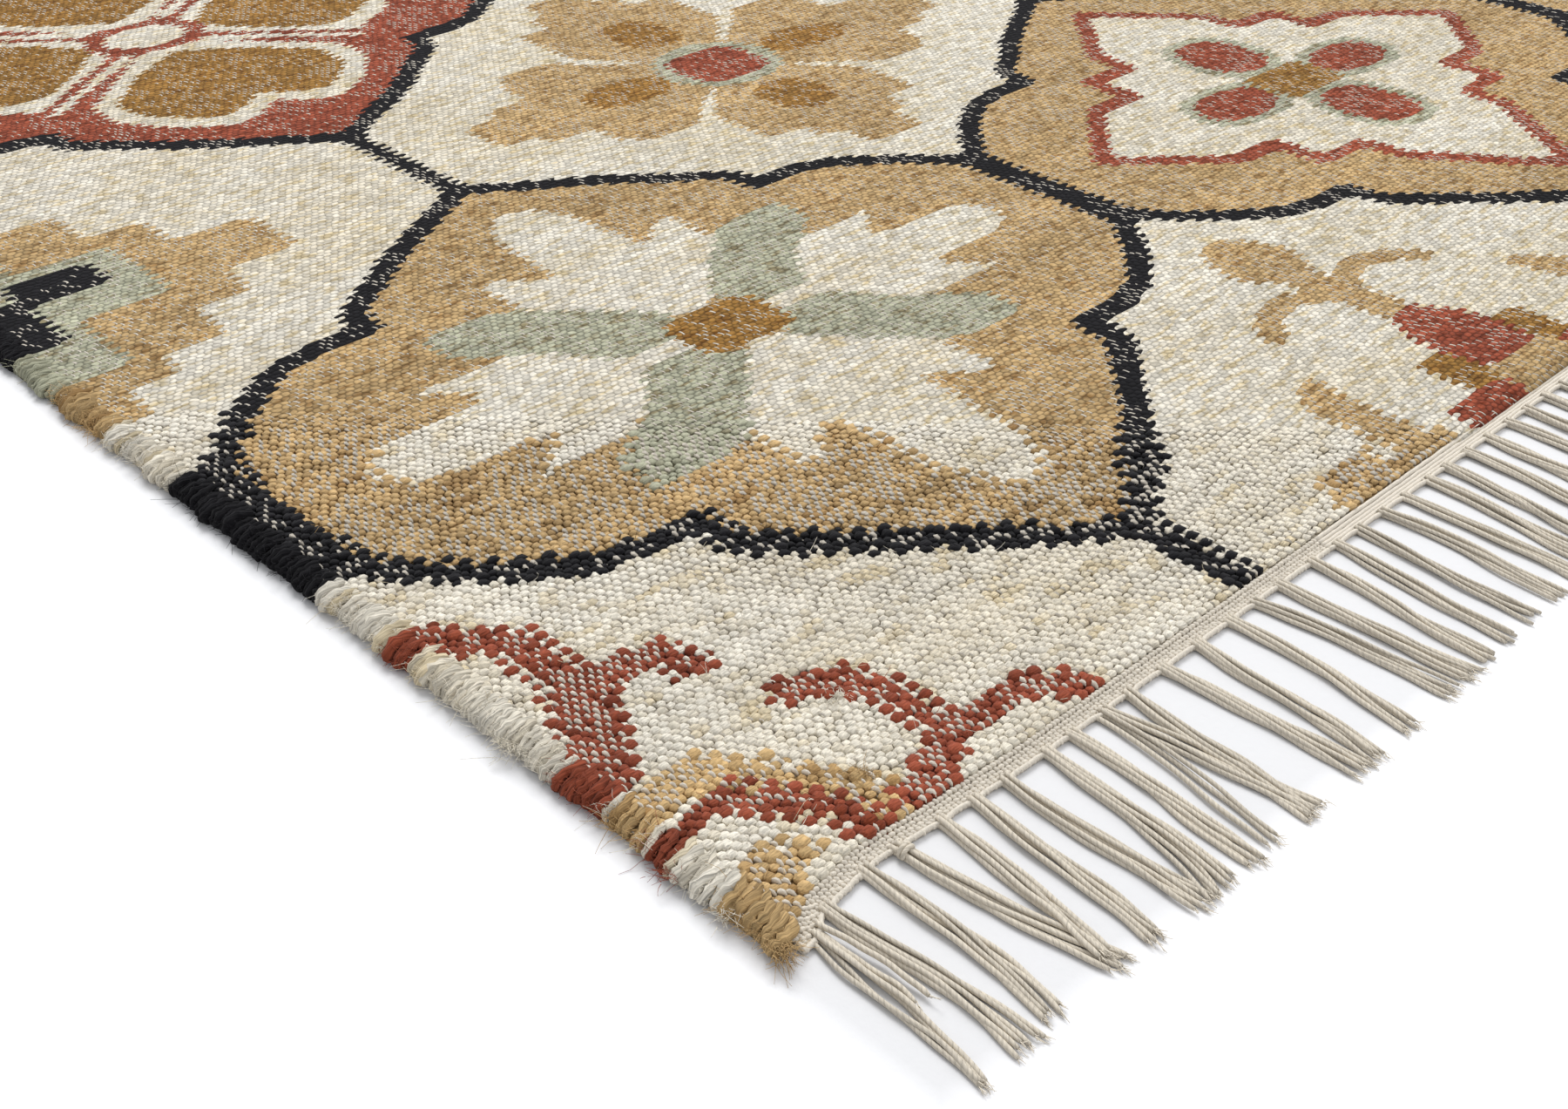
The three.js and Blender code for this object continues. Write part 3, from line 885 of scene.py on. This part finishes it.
def web_blobs(name, blob, warps):
    """Crossings of the near web with warp (or weft) on top."""
    rng = np.random.default_rng(61 + warps)
    places = []
    for pick in range(PICKS):
        i = np.arange(round((WEB_NEAR - HEADING_INSET) / WARP_PITCH))
        i = i[(i + pick) % 2 == (0 if warps else 1)]
        x = HEADING_INSET + 1.2 + i * WARP_PITCH
        rise = 1.1 + WEB_RISE[pick]
        places.append(np.stack([x, -(end_line(x) + web_row(x, pick)), np.full(len(x), rise)], -1))
    centres = np.concatenate(places)
    centres[:, :2] += rng.uniform(-0.18, 0.18, (len(centres), 2))
    chance = rng.uniform(-1, 1, len(centres))
    halves = (1.0, 1.5, 1.8 + 0.15 * chance) if warps else (1.6, 1.05, 1.7 + 0.15 * chance)
    lean = (0.45 if warps else -0.3) + 0.15 * chance
    colours = linear(COTTON) * (0.98 + 0.06 * chance)[:, None]
    return copy_blobs(name, blob, centres, halves, lean, colours)


def web_cords(name, from_x, to_x, step, turned, picks):
    """One cord for each of some picks, at the front or turned to the back."""
    x = np.linspace(from_x, to_x, round((to_x - from_x) / step))
    paths = []
    for pick in picks:
        wander = 0.15 * cloud(x, 10 + 40 * pick, 3.0, 40, 62)
        z = 1.75 + WEB_RISE[pick] + 0.15 * cloud(x, 30 + 40 * pick, 4, 40, 63)
        paths.append(np.stack([x, -(end_line(x) + web_row(x, pick) + wander), z], -1))
    paths = half_turn(np.array(paths)) if turned else np.array(paths)
    radii = np.full(paths.shape[:2], WEB_CORD)
    return make_tubes(name, paths, radii, 6, np.tile(WEB_COTTON, (len(paths), 1)))


web_warps = web_blobs("heading_warps", fine_warp, True)
web_wefts = web_blobs("heading_picks", fine_weft, False)
web_near_edge = web_cords("heading_edge", HEADING_INSET, WEB_NEAR, 1.5, False, [PICKS - 1])
web_front = web_cords("heading_cords_front", WEB_NEAR, far_edge, 3.0, False, range(PICKS))
web_back = web_cords("heading_cords_back", HEADING_INSET, far_edge, 3.0, True, range(PICKS))

# %% [markdown]
# A tassel is mostly five to eight plied warp ends. They leave the web as a tight bunch, wind
# loosely round each other, sink to the floor in two layers and fan out a little at the tips.

# %% Fringe strands
STRAND_RADIUS = 0.95
STRAND = (202, 193, 177)


def strand_paths(rows, stations, seed):
    """Paths of every strand of some tassels."""
    rng = np.random.default_rng(seed)
    share = np.linspace(0, 1, stations)
    paths = []
    for root, tip, spread, count, tip_lift, reach in rows:
        count = int(count)
        root_y = -(end_line(root) + HEADING_START + HEADING_WIDTH)
        turn, start = rng.uniform(-2.6, 2.6), rng.uniform(0, 6.28)
        angles = start + 2 * math.pi * np.arange(count) / count + rng.uniform(-0.3, 0.3, count)
        fan = np.argsort(np.argsort(np.cos(angles + turn))) / max(count - 1, 1) * 2 - 1
        bend, twist = rng.uniform(-2.2, 2.2), rng.uniform(-1.2, 1.2)
        for k in range(count):
            around = angles[k] + turn * share
            half = np.interp(share, [0, 0.06, 0.2, 0.5, 1], [2.3, 2.0, 2.8, 3.3, spread / 2])
            side = np.cos(around) * (1 - share**2) + fan[k] * share**2
            phase = rng.uniform(0, 6.28)
            sway = (0.8 * np.sin(6 * share + phase) + 0.3 * np.sin(17 * share + 2 * phase)) * share**0.5
            wind = bend * np.sin(math.pi * share) + twist * np.sin(2 * math.pi * share)
            mid = root + (tip - root) * share**1.3 + wind
            length = reach + rng.uniform(-3, 1.2)
            x = mid + side * half + sway + rng.uniform(-0.9, 0.9) * share**3
            y = root_y + 3.0 - (length + 3.0) * share
            lift = np.clip(np.sin(around) + 0.25, 0, 1) * np.interp(share, [0, 0.5, 1], [1.7, 1.6, 0.7])
            z = STRAND_RADIUS * 1.1 + 0.05 + lift + 0.3 * np.abs(np.sin(6 * share + phase)) * (1 - share)
            paths.append(np.stack([x, y, z + tip_lift * np.interp(share, [0.55, 0.75, 1], [0, 1, 0.8])], -1))
    return np.array(paths)


def make_strands(name, paths, sides, seed):
    """Plied strands, each a little thicker or paler than the next, with a narrower cut end."""
    chance = np.random.default_rng(seed).uniform(-1, 1, (len(paths), 1))
    radii = STRAND_RADIUS * (1 + 0.1 * chance)
    radii = radii * np.interp(np.linspace(0, 1, paths.shape[1]), [0, 0.96, 1], [1, 1, 0.7])
    return make_tubes(name, paths, radii, sides, linear(STRAND) * (1 + 0.07 * chance))


NEAR, MIDDLE = 18, 34
near_paths = strand_paths(tassels[:NEAR], 44, 71)
fringe_corner = make_strands("fringe_front_corner", near_paths, 8, 75)
fringe_middle = make_strands("fringe_front_middle", strand_paths(tassels[NEAR:MIDDLE], 26, 72), 7, 76)
fringe_far = make_strands("fringe_front_far", strand_paths(tassels[MIDDLE:], 13, 73), 5, 77)
fringe_back = make_strands("fringe_rear", half_turn(strand_paths(tassels, 11, 74)), 4, 78)

# %% [markdown]
# Cut ends fray into single fibres, and one bunch is tied with a strand of its own. Both are the
# same tubes, only finer or wound round.

# %% Frayed ends and a tie
LOWEST, HIGHEST = 0.35, 11
FRAYS, FRAY_THICKNESS = 5, 0.22
TIED_TASSEL, TIE_TURNS, TIE_STATIONS = 4, 1.55, 22


def fibre_paths(starts, directions, lengths, curl, stations, seed):
    """Curved fibres that start at points and drift off their direction."""
    rng = np.random.default_rng(seed)
    share = np.linspace(0, 1, stations)[None, :, None]
    stray = rng.normal(0, 1, (len(starts), 1, 3)) * curl
    paths = starts[:, None] + lengths[:, None, None] * (directions[:, None] * share + stray * share**2)
    paths[..., 2] = np.clip(paths[..., 2], LOWEST, HIGHEST)
    return paths


def make_fibres(name, paths, thickness, colours):
    """Fibres as thin three-sided tubes that end in a point."""
    radii = np.full(paths.shape[:2], thickness) * np.linspace(1, 0.5, paths.shape[1])[None]
    return make_tubes(name, paths, radii, 3, colours, hint=(0.3, 0.2, 1))


def frayed_ends():
    """Fibres that go on from the near strands' cut ends."""
    rng = np.random.default_rng(81)
    tips = np.repeat(near_paths[:, -1], FRAYS, axis=0)
    onward = near_paths[:, -1] - near_paths[:, -3]
    onward = np.repeat(onward / np.linalg.norm(onward, axis=1, keepdims=True), FRAYS, axis=0)
    onward = onward + rng.normal(0, 0.22, onward.shape)
    starts, lengths = tips + rng.normal(0, 0.35, tips.shape), rng.uniform(1, 4, len(tips))
    paths = fibre_paths(starts, onward, lengths, 0.15, 4, 82)
    # the fibres are lifted above the strands' colour as painted light, as thin fibres shade too dark
    return make_fibres("frayed_ends", paths, FRAY_THICKNESS, np.tile(linear(STRAND) * 1.15, (len(paths), 1)))


def tie():
    """A strand wound round one bunch below the web."""
    root = tassels[TIED_TASSEL, 0]
    turn = np.linspace(-0.4, 2 * math.pi * TIE_TURNS, TIE_STATIONS)
    y = -(end_line(root) + HEADING_WIDTH) - 1.2 - 0.28 * turn
    x = root + 3.0 * np.cos(turn)
    z = 2.5 + 2.3 * np.sin(turn)
    paths = np.stack([x, np.broadcast_to(y, x.shape), np.maximum(z, 0.95)], -1)[None]
    radii = np.full((1, TIE_STATIONS), 0.9)
    return make_tubes("tied_strand", paths, radii, 7, linear(STRAND)[None], hint=(0, 1, 0))


frayed = frayed_ends()
tied = tie()

# %% [markdown]
# Jute sheds hairs, most of all at the corner and along the selvedge. Each hair starts on the
# yarn below it and takes that yarn's colour. A few tufts stick out where the photo shows them.

# %% Loose hairs
HAIR_THICKNESS = 0.14
# from, to, hairs along the selvedge
EDGE_HAIRS = [(0, 260, 1700), (260, 480, 1300), (480, 900, 500)]
FIELD_HAIRS, FIELD_REACH = 900, 330
TUFTS = [
    # x, y, dye, hairs, way in plan
    (2, -2, TAN, 200, (-0.5, -1.0)), (106, 67, CREAM, 80, (-0.9, -0.7)), (-1, 133, CREAM, 60, (-1.0, -0.6)),
    (80, 27, TAN, 40, (-0.2, 0.9)), (-1, 45, RED, 40, (-1.0, 0.2)), (0, 20, CREAM, 60, (-1.0, -0.5)),
]


def loose_hairs():
    """Hairs along the selvedge, in the near field and in tufts."""
    rng = np.random.default_rng(83)
    along = np.concatenate([rng.uniform(*stretch) for stretch in EDGE_HAIRS])
    edge = np.stack([rng.uniform(-0.5, 9, len(along)), along], -1)
    field = rng.uniform(2, 300, (FIELD_HAIRS, 2))
    field = field[field.sum(1) < FIELD_REACH]
    tufts = np.concatenate([rng.normal((x, y), 2.2, (count, 2)) for x, y, _, count, _ in TUFTS])
    place = np.concatenate([edge, field, tufts])
    x, y = place.T
    rows, warps = np.clip(y / ROW_PITCH, 0, ROWS - 1), np.clip(x / WARP_PITCH, 1, WARPS - 1)
    dyes = weave_chart[rows.astype(int), warps.astype(int)]
    dyes[-len(tufts):] = np.concatenate([[dye] * count for _, _, dye, count, _ in TUFTS])
    on_rug_x, on_rug_y = np.maximum(x, 0), np.maximum(y, 0)
    height = np.where(x > 7, full_height(on_rug_x, on_rug_y), rng.uniform(2, 6.4, len(x)))
    starts = np.stack([*lay(x, on_rug_y), height + 0.1], -1)
    starts[:, 1] += np.minimum(y, 0)
    away = rng.uniform(-1, 1, (len(x), 3))
    away[:len(edge)] += (-0.7, 0, 0)
    away[-len(tufts):, :2] += np.concatenate([[way] * count for _, _, _, count, way in TUFTS])
    away[:, 2] = rng.uniform(-0.1, 0.6, len(x))
    away /= np.linalg.norm(away, axis=1, keepdims=True)
    lengths = rng.uniform(1.5, 6, len(x)) * np.where(rng.uniform(0, 1, len(x)) < 0.1, 1.8, 1)
    # the hairs are lifted a little as painted light, as thin hairs shade too dark
    colours = weft_colour(dyes, x, y, rng.uniform(-0.6, 1, len(x))) * 1.15
    paths = fibre_paths(starts, away, lengths, 0.35, 4, 84)
    return make_fibres("loose_hairs", paths, HAIR_THICKNESS, colours)


hairs = loose_hairs()

# %% [markdown]
# Materials are worked out in the shader from places on the piece, not from pictures. A number
# in the shader gets a small wrapper, so that a weave can be written down like an ordinary sum.

# %% Shader sums
class Value:
    """A number in a material that can be added, multiplied and so on."""

    def __init__(self, tree, socket):
        self.tree, self.socket = tree, socket

    def op(self, operation, *others):
        node = self.tree.nodes.new("ShaderNodeMath")
        node.operation = operation
        for k, value in enumerate((self, *others)):
            join(self.tree, node.inputs[k], value)
        return Value(self.tree, node.outputs[0])

    def __rsub__(self, other):
        return self.op("MULTIPLY", -1.0) + other


# Python's own signs, each with the operation it stands for
for sign, operation in (("add", "ADD"), ("radd", "ADD"), ("sub", "SUBTRACT"), ("mul", "MULTIPLY"),
                        ("rmul", "MULTIPLY"), ("truediv", "DIVIDE"), ("pow", "POWER"), ("abs", "ABSOLUTE")):
    setattr(Value, f"__{sign}__", functools.partialmethod(Value.op, operation))


def join(tree, socket, value):
    """Feeds a socket from a number, a colour or another node."""
    if isinstance(value, Value):
        value = value.socket
    if isinstance(value, bpy.types.NodeSocket):
        tree.links.new(value, socket)
    else:
        socket.default_value = value


def add(tree, kind, inputs=(), **settings):
    """Adds a node; inputs pairs a socket's name or number with what feeds it."""
    node = tree.nodes.new("ShaderNode" + kind)
    for key, value in settings.items():
        setattr(node, key, value)
    for key, value in dict(inputs).items():
        join(tree, node.inputs[key], value)
    return node


def channels(tree, colour):
    """The three numbers of a colour."""
    node = add(tree, "SeparateColor", {0: colour})
    return [Value(tree, socket) for socket in node.outputs]


def dome(squares):
    """Height of a rounded form: 1 in the middle, 0 where the sum of squares reaches 1."""
    return (1 - squares).op("MAXIMUM", 0.0).op("SQRT")


def ramp(value, low, high, to_low=0.0, to_high=1.0):
    """Maps a range onto another, held at its ends."""
    node = add(value.tree, "MapRange", {0: value, 1: low, 2: high, 3: to_low, 4: to_high})
    return Value(value.tree, node.outputs[0])


def noise(tree, place, scale, detail=2.0):
    """Smooth noise as three numbers of about 0.3 to 0.7."""
    node = add(tree, "TexNoise", {"Vector": place, "Scale": scale, "Detail": detail})
    return channels(tree, node.outputs["Color"])


def chances(tree, one, other):
    """Three random numbers from 0 to 1 for each pair of whole numbers."""
    pair = add(tree, "CombineXYZ", {0: one, 1: other}).outputs[0]
    node = add(tree, "TexWhiteNoise", {"Vector": pair}, noise_dimensions="2D")
    return channels(tree, node.outputs["Color"])


def blend(tree, share, one, other, mode="MIX"):
    """Mixes two colours."""
    node = add(tree, "Mix", {0: share, 6: one, 7: other}, data_type="RGBA", blend_type=mode)
    return node.outputs[2]


def scaled(tree, colour, amount):
    """A colour made lighter or darker."""
    return add(tree, "VectorMath", {0: colour, 3: amount}, operation="SCALE").outputs[0]


def start_material(name):
    """An empty material and its node tree."""
    material = bpy.data.materials.new(name)
    material.use_nodes = True
    material.node_tree.nodes.clear()
    return material, material.node_tree


def finish_surface(tree, colour, height, depth, roughness, sheen):
    """Ends a material: a rough surface with a bump that is depth metres high."""
    bump = add(tree, "Bump", {"Height": height, "Distance": depth, "Strength": 1.0})
    surface = add(tree, "BsdfPrincipled", {
        "Base Color": colour, "Roughness": roughness, "Normal": bump.outputs[0],
        "Sheen Weight": sheen, "Sheen Roughness": 0.6, "Specular IOR Level": 0.08})
    add(tree, "OutputMaterial", {0: surface.outputs[0]})
    print("material with", len(tree.nodes), "nodes")


# %% [markdown]
# Swells, floats and hairs take their dye from each yarn and add fibres: streaks along the yarn
# that lean a little, each a shade of its own.

# %% Yarn materials
FIBRES_PER_METRE = (320, 1500, 1500)


def fibre_shade(fibres, broad, contrast):
    """Dark and light fibres, on broader and weaker patches."""
    fine = ramp(fibres, 0.3, 0.7, 1 - contrast, 1 + contrast)
    return fine * ramp(broad, 0.3, 0.7, 1 - contrast / 2, 1 + contrast / 2)


def own_dye(tree, shade):
    """Each yarn's own colour, shaded."""
    return scaled(tree, add(tree, "Attribute", attribute_name="dye").outputs["Color"], shade)


def yarn_material(name, per_metre, contrast, depth):
    """Yarn without a map: the streaks follow the rug's own directions."""
    material, tree = start_material(name)
    here = add(tree, "TexCoord").outputs["Object"]
    place = add(tree, "Mapping", {0: here, 2: (0, 0, -0.2), 3: per_metre}).outputs[0]
    fibres, broad, _ = noise(tree, place, 1.0, 3.0)
    finish_surface(tree, own_dye(tree, fibre_shade(fibres, broad, contrast)), fibres, depth, 0.95, 0.05)
    return material


def spun_material(name, around, along, turn, contrast, depth, groove_bump_and_shade):
    """Yarn with a map: fibres wind along it, and plied yarn has grooves between its plies, darkened with
    painted shade.
    """
    material, tree = start_material(name)
    uv = add(tree, "UVMap", uv_map="yarn").outputs[0]
    parts = add(tree, "SeparateXYZ", {0: uv})
    u, v = (Value(tree, parts.outputs[k]) for k in (0, 1))
    angle = (u + v * turn) * 2 * math.pi
    cosine, sine = angle.op("COSINE"), angle.op("SINE")
    place = add(tree, "CombineXYZ", {0: cosine * around, 1: sine * around, 2: v * along}).outputs[0]
    fibres, broad, _ = noise(tree, place, 1.0, 3.0)
    ply = abs(sine) ** 0.6
    # the grooves between the plies are painted darker as shade, besides their bump
    shade = fibre_shade(fibres, broad, contrast) * (1 - groove_bump_and_shade + ply * groove_bump_and_shade)
    finish_surface(tree, own_dye(tree, shade), fibres * 0.5 + ply * groove_bump_and_shade * 2, depth, 1.0, 0.03)
    return material


jute_yarn = yarn_material("jute_yarn", FIBRES_PER_METRE, 0.26, 0.0007)
cotton_float = yarn_material("cotton_float", (1700, 700, 1700), 0.12, 0.0002)
jute_loop = spun_material("jute_loop", 2.6, 80, 22, 0.4, 0.002, 0.0)
cotton_strand = spun_material("cotton_strand", 1.8, 300, 200, 0.12, 0.0006, 0.17)

# %% [markdown]
# The cloth's own material repeats the crossings in the shader, for all of the rug that is too
# far off for modelled yarns. Its colour is the strongest of the blurred dyes at each place, which
# keeps the outlines crisp on a coarse mesh.

# %% The strongest dye
def strongest_dye(tree, tooth):
    """The strongest of the blurred dyes, with the chart shifted from row to row."""
    names = ("dyes_one", "dyes_other", "black_tone")
    one, other, extra = (add(tree, "Attribute", attribute_name=name) for name in names)
    mixed = channels(tree, blend(tree, tooth, one.outputs["Color"], other.outputs["Color"]))
    black_one, black_other, tone = channels(tree, extra.outputs["Color"])
    alpha_one, alpha_other = (Value(tree, node.outputs["Alpha"]) for node in (one, other))
    red = alpha_one + tooth * (alpha_other - alpha_one)
    black = black_one + tooth * (black_other - black_one)
    total = mixed[0] + mixed[1] + mixed[2] + red + black
    best = 1 - total
    colour = (*linear(DYES[CREAM]), 1)
    for dye, amount in zip((TAN, OCHRE, SAGE, RED, BLACK), (*mixed, red, black)):
        colour = blend(tree, amount.op("GREATER_THAN", best), colour, (*linear(DYES[dye]), 1))
        best = best.op("MAXIMUM", amount)
    is_cream = total.op("LESS_THAN", 0.5)
    is_black = (black - 0.02).op("GREATER_THAN", best - 0.04)
    return colour, is_cream, is_black, tone


# %% [markdown]
# u counts warps and v counts rows, both wobbling a little. In each row a swell spans two warps,
# and a float lies between two swells, as on the modelled yarns. Both are domes of height, which
# drive the bump and the painted shade in the hollows.

# %% Cloth material
def cloth_material():
    """Swells, floats and fibres of the whole cloth, worked out from its map."""
    material, tree = start_material("kilim_weave")
    uv = add(tree, "UVMap", uv_map="yarn").outputs[0]
    parts = add(tree, "SeparateXYZ", {0: uv})
    wobble = noise(tree, uv, 0.3, 1.0)
    u = Value(tree, parts.outputs[0]) + (wobble[0] - 0.5) * 1.3
    v = Value(tree, parts.outputs[1]) + (wobble[1] - 0.5) * 1.2
    row = v.op("FLOOR")
    odd = row.op("FLOORED_MODULO", 2.0)
    b = v - row - 0.5
    s = (u + odd + 0.5) * 0.5
    swell_id, float_id = s.op("FLOOR"), (s + 0.5).op("FLOOR")
    a = (s - swell_id - 0.5) * 2
    c = (s - float_id) * 2
    size, shade, _ = chances(tree, swell_id, row)
    shown, lift, _ = chances(tree, float_id, row + 0.5)
    tooth = 0.5 + (0.5 - b * b * 1.8) * (odd * 2 - 1) + (wobble[2] - 0.5) * 1.5
    colour, is_cream, is_black, tone = strongest_dye(tree, tooth.op("MINIMUM", 1.0).op("MAXIMUM", 0.0))

    # a and c run across a swell and a float, b along the warp, all from the middle
    swell = dome(a * a + (b + (size - 0.5) * 0.2) ** 2 * 3.2) * ramp(size, 0, 1, 0.65, 1.15)
    width = 0.24 - is_cream * 0.06
    ends = (1 - (b * b * 3.6) ** 2).op("MAXIMUM", 0.0)
    float_form = dome(((c + b * 0.3 + b * b * 0.6 - 0.1) / width) ** 2) * ends
    level = ramp(lift, 0, 1, 0.65, 1.05) - is_cream * 0.2
    patch = ramp(noise(tree, uv, 0.11, 1.0)[0], 0.35, 0.65, 0.3, 0.85)
    float_form = float_form * level * shown.op("GREATER_THAN", patch + is_cream * 0.25 + is_black * 0.12)
    on_top = (float_form - swell).op("GREATER_THAN", 0.0)

    # slubs and fibres lie along the weft
    stretched = add(tree, "Mapping", {0: uv, 3: (0.18, 0.9, 1)}).outputs[0]
    slub = noise(tree, stretched, 1.0)[0]
    here = add(tree, "TexCoord").outputs["Object"]
    fibres = noise(tree, add(tree, "Mapping", {0: here, 3: FIBRES_PER_METRE}).outputs[0], 1.0)[0]
    tint = blend(tree, 1.0, colour, blend(tree, is_cream, (*DYED_SLUB, 1), (*CREAM_SLUB, 1)), "MULTIPLY")
    natural = is_cream * ramp(noise(tree, stretched, 0.12, 1.0)[1], 0.4, 0.65, 0.0, 0.3)
    amount = (ramp(slub, 0.5, 0.64, 0, 0.85) + natural) * (1 - is_black)
    slubbed = blend(tree, amount.op("MINIMUM", 1.0), colour, tint)
    shade = ramp(shade, 0, 1, 0.68, 1.06) * ramp(fibres, 0.3, 0.7, 0.82, 1.18)
    shade = shade * (1 + (tone - 0.5) * (0.4 - is_cream * 0.28))
    # painted shade: hollows between the yarns are darker, and the higher of the two yarns shows
    height = swell.op("MAXIMUM", float_form)
    painted_hollow_shade = ramp(height, 0.0, 0.7, 0.55 + is_cream * 0.15, 1.0)
    weft = scaled(tree, slubbed, shade * painted_hollow_shade)
    cotton = scaled(tree, tuple(linear(COTTON)), ramp(lift, 0, 1, 0.7, 0.92) * painted_hollow_shade * (1 - is_cream * 0.12))
    finish_surface(tree, blend(tree, on_top, weft, cotton), height + fibres * 0.12, 0.0008, 0.95, 0.02)
    return material


kilim_weave = cloth_material()

# %% [markdown]
# Every piece gets its material and rides on the rug's only body. The
# cloth, heading cores and fringes take the place of the plain solids.

# %% Dress the pieces
def dress(pieces, material):
    """Gives pieces their material and body."""
    for piece in pieces:
        piece.data.materials.clear()
        piece.data.materials.append(material)
        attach(piece, "root")


dress([cloth], kilim_weave)
dress([weft_corner, weft_field, hairs], jute_yarn)
dress([selvedge_corner, selvedge_left, selvedge_right], jute_loop)
dress([warp_corner, warp_field], cotton_float)
dress([web_warps, web_wefts], cotton_float)
dress([heading_front, heading_back, web_near_edge, web_front, web_back], cotton_float)
dress([fringe_corner, fringe_middle, fringe_far, fringe_back, tied], cotton_strand)
dress([frayed], cotton_float)
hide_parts("kilim_cloth")
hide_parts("heading_front")
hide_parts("heading_back")
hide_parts("fringe_front")
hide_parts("fringe_back")

# %% [markdown]
# The rug lies on white studio paper under a wide soft light from behind and a pale sky, so
# shadows are short, soft and grey. Close to the rug the paper also carries a painted shadow,
# greyer at the rug and under its fringes, and fading to white further off.

# %% Studio
LIGHTS = [
    # name, place, size, power
    ("window_light", (1.1, 1.6, 3.4), 2.2, 175), ("fill_light", (1.5, -2.8, 2.8), 3.0, 55),
]
SKY_COLOUR, SKY_STRENGTH = (0.96, 0.97, 1.0, 1), 0.7
FLOOR_SIZE = 14
# the paper's colour in the painted shadow close to the rug, and how much it lifts away from it
SHADOWED_PAPER, PAPER_SHADOW_LIFT = 0.66, 0.29
SIDE_SHADOW_FADE, END_SHADOW_FADE = (0.0, 0.022), (0.075, 0.1)  # from and to, in metres past the body


def make_floor():
    """White paper with a painted shadow: greyer close to the rug."""
    bpy.ops.object.select_all(action="DESELECT")
    bpy.ops.mesh.primitive_plane_add(size=FLOOR_SIZE, location=(0, 0, 0))
    floor = bpy.context.object
    floor.name = "studio_floor"
    material, tree = start_material("studio_paper")
    here = add(tree, "TexCoord").outputs["Object"]
    parts = add(tree, "SeparateXYZ", {0: here})
    x, y = (abs(Value(tree, parts.outputs[k])) for k in (0, 1))
    # painted shadow of the rug: 0 at its edge and under the fringes, 1 once past them
    away = ramp(x + CORNER[0], *SIDE_SHADOW_FADE).op("MAXIMUM", ramp(y + CORNER[1], *END_SHADOW_FADE))
    grain = noise(tree, here, 300.0)[0]
    pale = SHADOWED_PAPER + away * PAPER_SHADOW_LIFT + (grain - 0.5) * 0.02
    colour = add(tree, "CombineColor", {0: pale, 1: pale, 2: pale * 1.01}).outputs[0]
    finish_surface(tree, colour, grain, 0.0001, 0.9, 0.0)
    floor.data.materials.append(material)


def make_lights():
    """Soft square lights that look at the middle of the rug, and a pale sky."""
    for name, place, size, power in LIGHTS:
        data = bpy.data.lights.new(name, "AREA")
        data.size, data.energy = size, power
        light = bpy.data.objects.new(name, data)
        bpy.context.scene.collection.objects.link(light)
        light.location = place
        aim = -np.array(place) / np.linalg.norm(place)
        light.rotation_euler = (math.acos(-aim[2]), 0, math.atan2(aim[1], aim[0]) - math.pi / 2)
    world = bpy.data.worlds.new("studio_sky")
    world.use_nodes = True
    sky = world.node_tree.nodes["Background"].inputs
    sky[0].default_value, sky[1].default_value = SKY_COLOUR, SKY_STRENGTH
    bpy.context.scene.world = world
    bpy.context.scene.view_settings.view_transform = "Standard"


make_floor()
make_lights()
print("lights", [light[0] for light in LIGHTS])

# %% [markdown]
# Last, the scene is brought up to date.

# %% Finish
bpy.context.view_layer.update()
